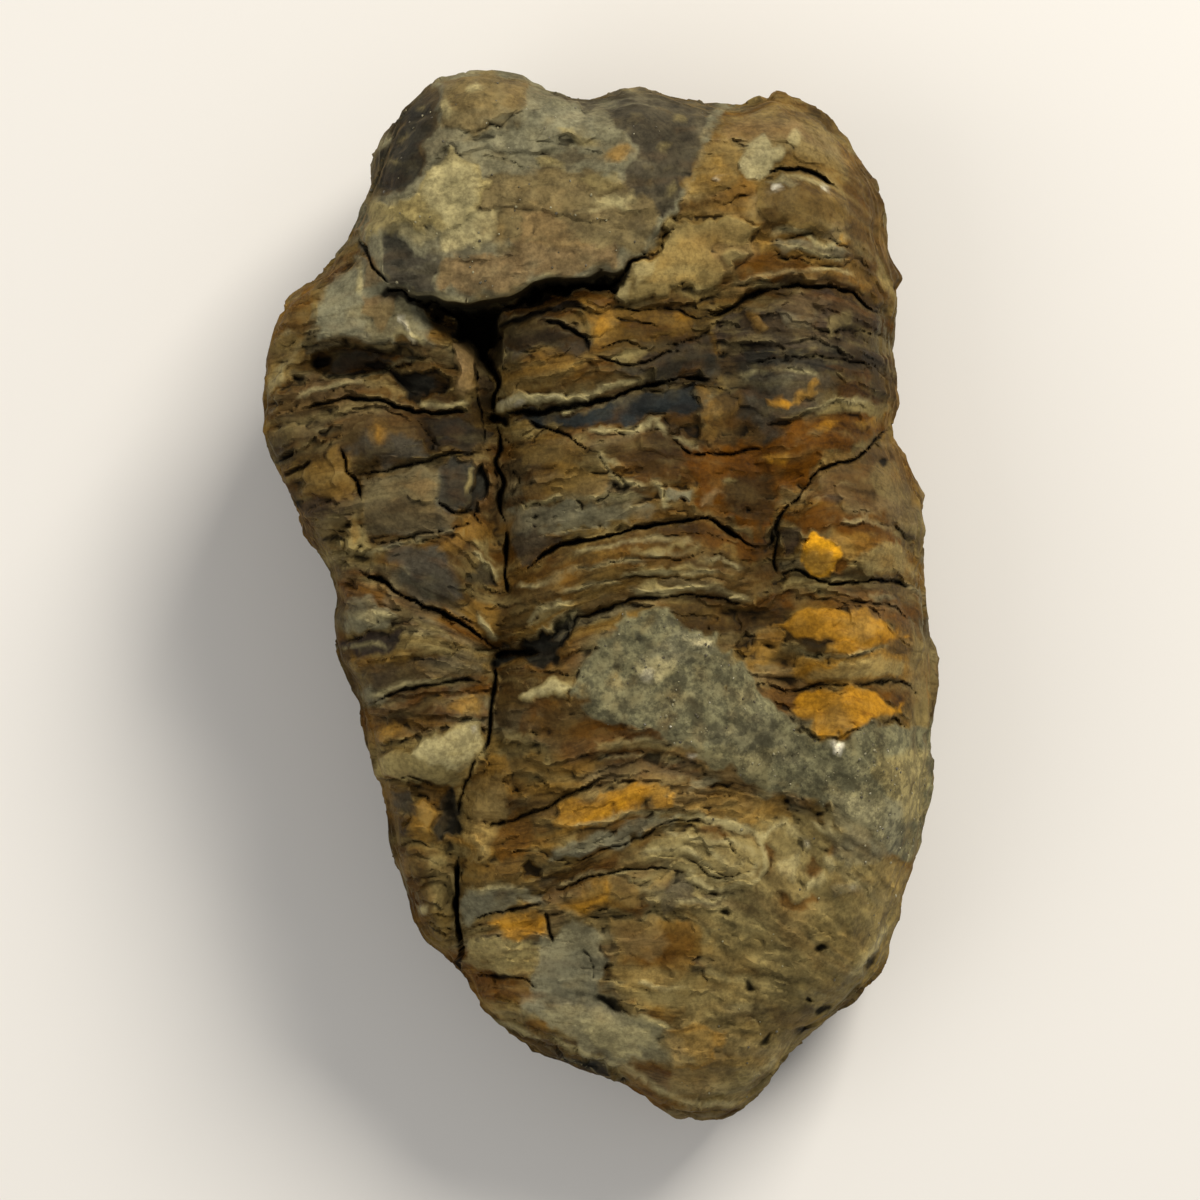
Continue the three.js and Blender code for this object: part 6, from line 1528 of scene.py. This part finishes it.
points, facing = points_of(skin), normals_of(skin)
hits = np.zeros_like(map_x)
hits[np.searchsorted(grid_y, points[:, 1]), np.searchsorted(grid_x, points[:, 0])] = 1
inland = soft((blurred((blurred(hits, 0.1) > 0.05).astype(float), 1.0) - 0.9) / 0.1)
inner = on_skin(inland, points)
up = np.maximum(soft((facing[:, 2] - 0.1) / 0.4), inner * (facing[:, 2] > 0))
down = soft((-facing[:, 2] - 0.3) / 0.5)
carved = stone_skin(points, facing[:, 2])
carved = np.where(down > 0, carved * (1 - down) - 0.5 * np.abs(carved) * down, carved)
moved = points + facing * (carved * (1 - up))[:, None]
moved += (up * (1 - inner) * on_skin(relief, points))[:, None] * facing
moved[:, 2] += up * inner * on_skin(relief, points)
moved[:, 2] = np.maximum(moved[:, 2], 0.0)
move_points(skin, moved)
print("carved,", clock())

# %% [markdown]
# ## Fewer triangles where it is smooth
# Decimate by collapse keeps points where the surface bends, at the cracks and ledges, and takes them from
# smooth places. The limit is 200,000 triangles for a piece.

# %% Thin the skin out
TRIANGLES = 196000
skin.calc_loop_triangles()
kept = TRIANGLES / len(skin.loop_triangles)
skin = with_modifier(skin, "DECIMATE", ratio=kept, use_collapse_triangulate=True)
skin.name = "fossil_trilobite"
print("triangles:", len(skin.polygons), clock())

# %% [markdown]
# ## Hollows and edges
# Crevices get dirt and painted shade, and edges are painted pale as wear and painted highlight. A point
# below the mean of its surroundings is in a hollow, one above it on an edge. A few rounds of averaging find
# the fine ones, more the broad ones.

# %% Find hollows and edges
points, facing, edges = points_of(skin), normals_of(skin), edges_of(skin)
hollow = np.zeros(len(points))
around = points.copy()
for rounds, share in ((3, 2.2), (10, 1.0)):
    for _ in range(rounds):
        around = neighbours_mean(around, edges)
    hollow += share * ((around - points) * facing).sum(1)
print("deepest hollow and sharpest edge, mm:", round(hollow.max(), 2), round(-hollow.min(), 2))

# %% [markdown]
# ## Colours of the points
# The back takes its colours from the map. The sides are too steep for it, so they get the same minerals
# from noise in layers.

# %% Colours of the points
x, y, z = points.T
up = soft((facing[:, 2] - 0.02) / 0.38)
side_olive, side_umber = linear(PIGMENTS["olive"][0]), linear(PIGMENTS["umber"][0])
side_slate, side_ochre = linear(PIGMENTS["slate"][0]), linear(PIGMENTS["ochre"][0])
layer_noise = rough(x / 5, y / 5, z / 1.3, size=1.0, octaves=3, seed=240)
patch_noise = rough(x, y, z, size=5.0, octaves=3, seed=241)
side = side_olive + soft(1.6 * layer_noise)[:, None] * (0.8 * (side_umber - side_olive))
side += soft(1.4 * patch_noise)[:, None] * (0.7 * (side_slate - side))
side += soft(-2.4 * patch_noise - 0.6)[:, None] * (0.7 * (side_ochre - side))
ground_here = on_skin(ground, points) * up[:, None] + side * (1 - up)[:, None]
vein_here = on_skin(vein, points) * up[:, None] + 0.55 * side * (1 - up)[:, None]
# Darker in hollows and on steep walls inside the outline, such as the slab's wall: dirt and painted shade.
dirt_and_shade_here = np.maximum(on_skin(dirt_and_shade, points) * up, 0.7 * soft((hollow - 0.15) / 0.35))
at_least(dirt_and_shade_here, 0.7 * soft((0.45 - facing[:, 2]) / 0.3) * on_skin(inland, points))
# Paler on edges that stand out: wear and painted highlight.
wear_and_sheen_here = np.maximum(0.8 * on_skin(wear_and_sheen, points) * up, 0.4 * soft((-hollow - 0.15) / 0.3))
grit_here = on_skin(grit, points) * up
grain_room_here = on_skin(grain_room, points) * soft((facing[:, 2] - 0.3) / 0.3)
SIDE_BEDS = 1.7  # on the sides the beds count upwards, this many for a millimetre
beds_here = np.stack([x, on_skin(beds, points) * up + SIDE_BEDS * z * (1 - up), z], 1)
print("hollow share:", round((dirt_and_shade_here > 0.5).mean(), 2))
print("worn share:", round((wear_and_sheen_here > 0.5).mean(), 2))

# %% [markdown]
# ## Kept on the points
# A shader can only read what the mesh holds, so each result is kept on the points as a named attribute.
# Smooth shading hides the triangles, and the sharpest edges stay sharp.


# %% Keep them on the points
SHARP_DEGREES = 38


def keep_colour(mesh, name, values):
    attribute = mesh.attributes.new(name, "FLOAT_COLOR", "POINT")
    full = np.ones((len(values), 4), np.float32)
    full[:, :3] = values
    attribute.data.foreach_set("color", full.ravel())


def keep_number(mesh, name, values):
    mesh.attributes.new(name, "FLOAT", "POINT").data.foreach_set("value", values.astype(np.float32))


keep_colour(skin, "ground", ground_here)
keep_colour(skin, "vein", vein_here)
keep_number(skin, "dirt_and_shade", np.clip(dirt_and_shade_here, 0, 1))
keep_number(skin, "wear_and_sheen", np.clip(wear_and_sheen_here, 0, 1))
keep_number(skin, "grit", grit_here)
keep_number(skin, "grain_room", np.clip(grain_room_here, 0, 1))
beds_kept = skin.attributes.new("beds", "FLOAT_VECTOR", "POINT")
beds_kept.data.foreach_set("vector", beds_here.astype(np.float32).ravel())
skin.polygons.foreach_set("use_smooth", np.ones(len(skin.polygons), bool))
skin.set_sharp_from_angle(angle=math.radians(SHARP_DEGREES))
print("attributes:", [kept.name for kept in skin.attributes if kept.domain == "POINT"])

# %% [markdown]
# ## One function for every node
# Materials and the scattering tree are made of nodes. This function adds one, sets it up, fills its inputs
# and hands back its outputs by name. Hidden sockets may share a name with one in use, so only those in use
# count.


# %% Add a node
def add(kind, inputs=(), **settings):
    """An input is found by its name or its number, and is a value or another node's output."""
    node = tree.nodes.new(kind)
    for name, value in settings.items():
        setattr(node, name, value)
    in_use = [port for port in node.inputs if port.enabled]
    by_name = {port.name: port for port in in_use}
    for key, value in dict(inputs).items():
        port = in_use[key] if isinstance(key, int) else by_name[key]
        if isinstance(value, bpy.types.NodeSocket):
            tree.links.new(value, port)
        else:
            port.default_value = value
    return {port.name: port for port in node.outputs if port.enabled}


stone = bpy.data.materials.new("limonite_stained_calcite")
stone.use_nodes = True
tree = stone.node_tree
tree.nodes.clear()
print("empty tree for", stone.name)

# %% [markdown]
# ## Patterns in the stone
# Fossil shell is fine-grained calcite. Streaks 3 mm long and 0.3 mm thick follow its beds, and grains,
# speckles, flecks and clouds break it up, each at its own width in millimetres. They read the beds or the
# place on the object, so none slides.

# %% Patterns
PER_METRE = 1000.0
STREAK_LENGTH, STREAK_THICKNESS = 3.0, 0.3
OUTPUTS = {"beds": "Vector", "dirt_and_shade": "Fac", "wear_and_sheen": "Fac", "grit": "Fac", "ground": "Color", "vein": "Color"}
marks = {}
for name, output in OUTPUTS.items():
    marks[name] = add("ShaderNodeAttribute", attribute_name=name)[output]
along_beds = {"Vector": marks["beds"], "Scale": (1 / STREAK_LENGTH, 1 / STREAK_THICKNESS, 1.0)}
stretched = add("ShaderNodeMapping", along_beds)["Vector"]
streak_noise = {"Vector": stretched, "Scale": 1.0, "Detail": 4.0, "Roughness": 0.6}
streak = add("ShaderNodeTexNoise", streak_noise)["Fac"]
place = add("ShaderNodeTexCoord")["Object"]
patterns = []
for width, detail, roughness in (
    (0.18, 4.0, 0.7),  # grain
    (0.25, 3.0, 0.65),  # speckle
    (0.8, 5.0, 0.75),  # fleck
    (1.6, 5.0, 0.6),  # cloud
):
    noise_of = {"Vector": place, "Scale": PER_METRE / width, "Detail": detail, "Roughness": roughness}
    patterns.append(add("ShaderNodeTexNoise", noise_of)["Fac"])
grain, speckle, fleck, cloud = patterns
print(1 + len(patterns), "patterns")

# %% [markdown]
# ## Colours of the stone
# The ground and vein colours meet in the streaks, and grit hides them. Mottles darken and lighten the
# result from grain to grain, and flecks do the same to the grit.

# %% Streaks, mottles and flecks
limits = {"Value": streak, "From Min": 0.4, "From Max": 0.7}
share = add("ShaderNodeMapRange", limits, interpolation_type="SMOOTHSTEP")["Result"]
hidden = {0: marks["grit"], 1: -0.75, 2: share}
share = add("ShaderNodeMath", hidden, operation="MULTIPLY_ADD")["Value"]
limits = {"Value": share, "From Min": 0.0, "From Max": 1.3}
share = add("ShaderNodeMapRange", limits, interpolation_type="SMOOTHSTEP")["Result"]
colours = {"Factor": share, "A": marks["ground"], "B": marks["vein"]}
surface = add("ShaderNodeMix", colours, data_type="RGBA")["Result"]

mottle = add("ShaderNodeMath", {0: speckle, 1: cloud}, operation="ADD")["Value"]
gritty = add("ShaderNodeMath", {0: marks["grit"], 1: 3.0}, operation="POWER")["Value"]
gritty = add("ShaderNodeMath", {0: gritty, 1: 0.75}, operation="MULTIPLY")["Value"]
for pattern, low, high, dark, light, cover in (
    (mottle, 0.72, 1.24, (0.45, 0.43, 0.4), (1.4, 1.4, 1.36), 0.58),
    (fleck, 0.43, 0.58, (0.62, 0.62, 0.63), (1.36, 1.34, 1.28), gritty),
):
    limits = {"Value": pattern, "From Min": low, "From Max": high}
    share = add("ShaderNodeMapRange", limits, interpolation_type="SMOOTHSTEP")["Result"]
    colours = {"Factor": share, "A": (*dark, 1.0), "B": (*light, 1.0)}
    factor = add("ShaderNodeMix", colours, data_type="RGBA")["Result"]
    colours = {"Factor": cover, "A": surface, "B": factor}
    surface = add("ShaderNodeMix", colours, data_type="RGBA", blend_type="MULTIPLY")["Result"]
print("colours:", len(tree.nodes), "nodes so far")

# %% [markdown]
# ## Wear, dirt and painted light
# Rubbed edges are pale with painted highlight, and crevices are filled with dark earth and painted shade.
# Both are cut with the cloud pattern, so their borders are crisp though the points are further apart.

# %% Wear and highlight, dirt and shade
# The pale colour is wear and painted highlight, the near-black one dirt and painted shade.
for mark, cloudiness, low, high, cover, code in (
    ("wear_and_sheen", 0.5, 0.5, 1.15, 0.55, "#a5935c"),
    ("dirt_and_shade", 0.3, 0.3, 1.0, 0.94, "#0c0a05"),
):
    clouded = {0: cloud, 1: cloudiness, 2: marks[mark]}
    share = add("ShaderNodeMath", clouded, operation="MULTIPLY_ADD")["Value"]
    limits = {"Value": share, "From Min": low, "From Max": high, "To Max": cover}
    share = add("ShaderNodeMapRange", limits, interpolation_type="SMOOTHSTEP")["Result"]
    colours = {"Factor": share, "A": surface, "B": (*linear(code), 1.0)}
    surface = add("ShaderNodeMix", colours, data_type="RGBA")["Result"]
print("with wear and soot:", len(tree.nodes), "nodes")

# %% [markdown]
# ## The stone's finish
# Weathered calcite, IOR 1.57, is dull, because it is rough at every size, with a faint polish on handled
# edges. Two bumps stand for the leaves of the beds, 0.12 mm high, and the grain, 0.08 mm high.

# %% Finish of the stone
CALCITE_IOR = 1.57
leafless = add("ShaderNodeMath", {0: 1.0, 1: marks["grit"]}, operation="SUBTRACT")["Value"]
leaves = add("ShaderNodeMath", {0: streak, 1: leafless}, operation="MULTIPLY")["Value"]
leaf_bump = {"Height": leaves, "Strength": 0.35, "Distance": 0.12 / PER_METRE}
bumped = add("ShaderNodeBump", leaf_bump)["Normal"]
grain_bump = {"Height": grain, "Strength": 0.32, "Distance": 0.08 / PER_METRE, "Normal": bumped}
bumped = add("ShaderNodeBump", grain_bump)["Normal"]
polish = add("ShaderNodeMath", {0: cloud, 1: marks["wear_and_sheen"]}, operation="SUBTRACT")["Value"]
limits = {"Value": polish, "From Min": -0.4, "From Max": 0.7, "To Min": 0.42, "To Max": 0.78}
dullness = add("ShaderNodeMapRange", limits)["Result"]
finish = {
    "Base Color": surface,
    "Roughness": dullness,
    "Normal": bumped,
    "IOR": CALCITE_IOR,
    "Specular IOR Level": 0.06,
}
shader = add("ShaderNodeBsdfPrincipled", finish)["BSDF"]
add("ShaderNodeOutputMaterial", {"Surface": shader})
skin.materials.clear()
skin.materials.append(stone)

fossil = put("fossil_trilobite", skin)
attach(fossil, "root")
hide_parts("trilobite")
print("stone made,", clock())

# %% [markdown]
# ## Grains of calcite
# The matrix is a grainy mud with broken calcite crystals in it. They repeat over a surface, so Geometry
# Nodes scatter them: points on the skin, more where the map has room, and a small ball on each, with a
# size, a turn and a shade by chance.

# %% Build the tree that scatters grains
calcite = bpy.data.materials.new("calcite_grain")
calcite.use_nodes = True
scatter = bpy.data.node_groups.new("scattered_grains", "GeometryNodeTree")
INPUTS = (
    ("Skin", "NodeSocketGeometry", None),
    ("Grains per square metre", "NodeSocketFloat", 3e6),
    ("Smallest", "NodeSocketFloat", 0.00004),
    ("Largest", "NodeSocketFloat", 0.00012),
    ("Seed", "NodeSocketInt", 5),
)
for name, kind, _ in INPUTS:
    scatter.interface.new_socket(name, in_out="INPUT", socket_type=kind)
scatter.interface.new_socket("Grains", in_out="OUTPUT", socket_type="NodeSocketGeometry")
tree = scatter
given = add("NodeGroupInput")
room = add("GeometryNodeInputNamedAttribute", {"Name": "grain_room"}, data_type="FLOAT")["Attribute"]
many = {0: given["Grains per square metre"], 1: room}
density = add("ShaderNodeMath", many, operation="MULTIPLY")["Value"]
spread = {"Mesh": given["Skin"], "Density": density, "Seed": given["Seed"]}
spots = add("GeometryNodeDistributePointsOnFaces", spread, distribute_method="RANDOM")["Points"]
ball = add("GeometryNodeMeshIcoSphere", {"Radius": 1.0, "Subdivisions": 1})["Mesh"]
FULL_TURN = 6.283
draws = []
for kind, low, high in (
    ("FLOAT_VECTOR", (0.0, 0.0, 0.0), (FULL_TURN, FULL_TURN, FULL_TURN)),
    ("FLOAT", given["Smallest"], given["Largest"]),
    ("FLOAT_VECTOR", (0.5, 0.5, 0.5), (1.0, 1.0, 1.0)),
    ("FLOAT", 0.0, 1.0),
):
    limits = {"Min": low, "Max": high, "Seed": len(draws) + 1}
    draws.append(add("FunctionNodeRandomValue", limits, data_type=kind)["Value"])
turn, size, stretch, shade = draws
scale = add("ShaderNodeVectorMath", {0: stretch, "Scale": size}, operation="SCALE")["Vector"]
balls = {"Points": spots, "Instance": ball, "Rotation": turn, "Scale": scale}
placed = add("GeometryNodeInstanceOnPoints", balls)["Instances"]
shading = {"Geometry": placed, "Name": "shade", "Value": shade}
shaded = add("GeometryNodeStoreNamedAttribute", shading, data_type="FLOAT", domain="INSTANCE")
realized = add("GeometryNodeRealizeInstances", {"Geometry": shaded["Geometry"]})["Geometry"]
finished = add("GeometryNodeSetMaterial", {"Geometry": realized, "Material": calcite})["Geometry"]
add("NodeGroupOutput", {"Grains": finished})
print("tree:", len(scatter.nodes), "nodes")

# %% [markdown]
# ## Grains on a copy of the skin
# A copy of the skin carries the modifier. Each input is set by its socket's identifier before the copy is
# first evaluated, and the copy is thrown away once the result is a mesh of its own.

# %% Scatter the grains
sieve = put("sieve", skin.copy())
modifier = sieve.modifiers.new("scatter", "NODES")
modifier.node_group = scatter
sockets = {item.name: item.identifier for item in scatter.interface.items_tree if item.in_out == "INPUT"}
for name, _, value in INPUTS[1:]:
    modifier[sockets[name]] = value
grains_mesh = bpy.data.meshes.new_from_object(sieve.evaluated_get(bpy.context.evaluated_depsgraph_get()))
bpy.data.objects.remove(sieve)
grains_mesh.name = "calcite_grains"
grain_object = put("calcite_grains", grains_mesh)
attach(grain_object, "root")
print("grain triangles:", len(grains_mesh.polygons))

# %% [markdown]
# ## The grains' material
# Clean calcite is white and glints, and grains that are still coated are grey or brown. The shade stored on
# each grain picks from a ramp of those colours.

# %% Grain material
tree = calcite.node_tree
tree.nodes.clear()
shade_mark = add("ShaderNodeAttribute", attribute_name="shade")["Fac"]
surface = (*linear("#4a4330"), 1.0)
for low, high, code in ((0.3, 0.75, "#8d8563"), (0.92, 1.0, "#9d967c")):
    limits = {"Value": shade_mark, "From Min": low, "From Max": high}
    share = add("ShaderNodeMapRange", limits, interpolation_type="SMOOTHSTEP")["Result"]
    colours = {"Factor": share, "A": surface, "B": (*linear(code), 1.0)}
    surface = add("ShaderNodeMix", colours, data_type="RGBA")["Result"]
finish = {"Base Color": surface, "Roughness": 0.35, "IOR": CALCITE_IOR}
shader = add("ShaderNodeBsdfPrincipled", finish)["BSDF"]
add("ShaderNodeOutputMaterial", {"Surface": shader})
print("grain colours set")

# %% [markdown]
# ## The table
# The fossil lies on uncoated paper, which is matt and nearly white. One large square is enough, and it isn't
# part of the object.

# %% Lay the paper
PAPER_HALF = 2.0
corners = [(PAPER_HALF * i, PAPER_HALF * j, 0) for i, j in ((-1, -1), (1, -1), (1, 1), (-1, 1))]
floor_mesh = bpy.data.meshes.new("floor")
floor_mesh.from_pydata(corners, [], [(0, 1, 2, 3)])
floor = put("floor", floor_mesh)
paper = bpy.data.materials.new("pale_paper")
paper.use_nodes = True
paper_shader = paper.node_tree.nodes["Principled BSDF"]
paper_shader.inputs["Base Color"].default_value = (*linear("#e9e6e1"), 1.0)
paper_shader.inputs["Roughness"].default_value = 0.9
floor_mesh.materials.append(paper)
print("paper:", 2 * PAPER_HALF, "m wide")

# %% [markdown]
# ## Light
# A large soft lamp stands beyond the head, to the right, so that ledges that face the tail fall into
# shadow. A weak lamp from the left and a pale sky keep the shadows open.

# %% Light the stone
world = bpy.data.worlds.new("studio")
world.use_nodes = True
world.node_tree.nodes["Background"].inputs["Color"].default_value = (1.0, 1.0, 1.0, 1.0)
world.node_tree.nodes["Background"].inputs["Strength"].default_value = 0.36
bpy.context.scene.world = world
bpy.context.scene.view_settings.view_transform = "Standard"


def lamp(name, place, size, power, colour):
    """A square lamp that shines at the middle of the fossil."""
    data = bpy.data.lights.new(name, "AREA")
    data.size, data.energy, data.color = size, power, colour
    holder = put(name, data)
    holder.location = place
    holder.rotation_euler = (Vector((0, 0, 0.01)) - Vector(place)).to_track_quat("-Z", "Y").to_euler()


lamp("key", (0.26, 0.4, 0.4), 0.26, 4.05, (1.0, 0.95, 0.86))
lamp("fill", (-0.4, -0.1, 0.5), 0.4, 0.8, (1.0, 0.97, 0.93))
print(len(bpy.data.lights), "lamps")

# %% [markdown]
# ## Camera
# The fossil is seen from straight above, head up. A long lens keeps the flanks from spreading, and its
# height follows from the width that the view should take in.

# %% Place the camera
VIEW_WIDTH = 0.066
UPPER_BACK = 0.014
camera_data = bpy.data.cameras.new("camera")
camera_data.lens, camera_data.sensor_width = 220, 36
camera_data.clip_start = 0.01
camera = put("camera", camera_data)
camera.location = (0, 0, UPPER_BACK + VIEW_WIDTH * camera_data.lens / camera_data.sensor_width)
bpy.context.scene.camera = camera
print("camera height, m:", round(camera.location.z, 3))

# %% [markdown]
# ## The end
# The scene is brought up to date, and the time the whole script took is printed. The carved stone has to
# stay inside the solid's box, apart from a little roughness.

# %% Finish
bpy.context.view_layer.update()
print("whole script,", clock())
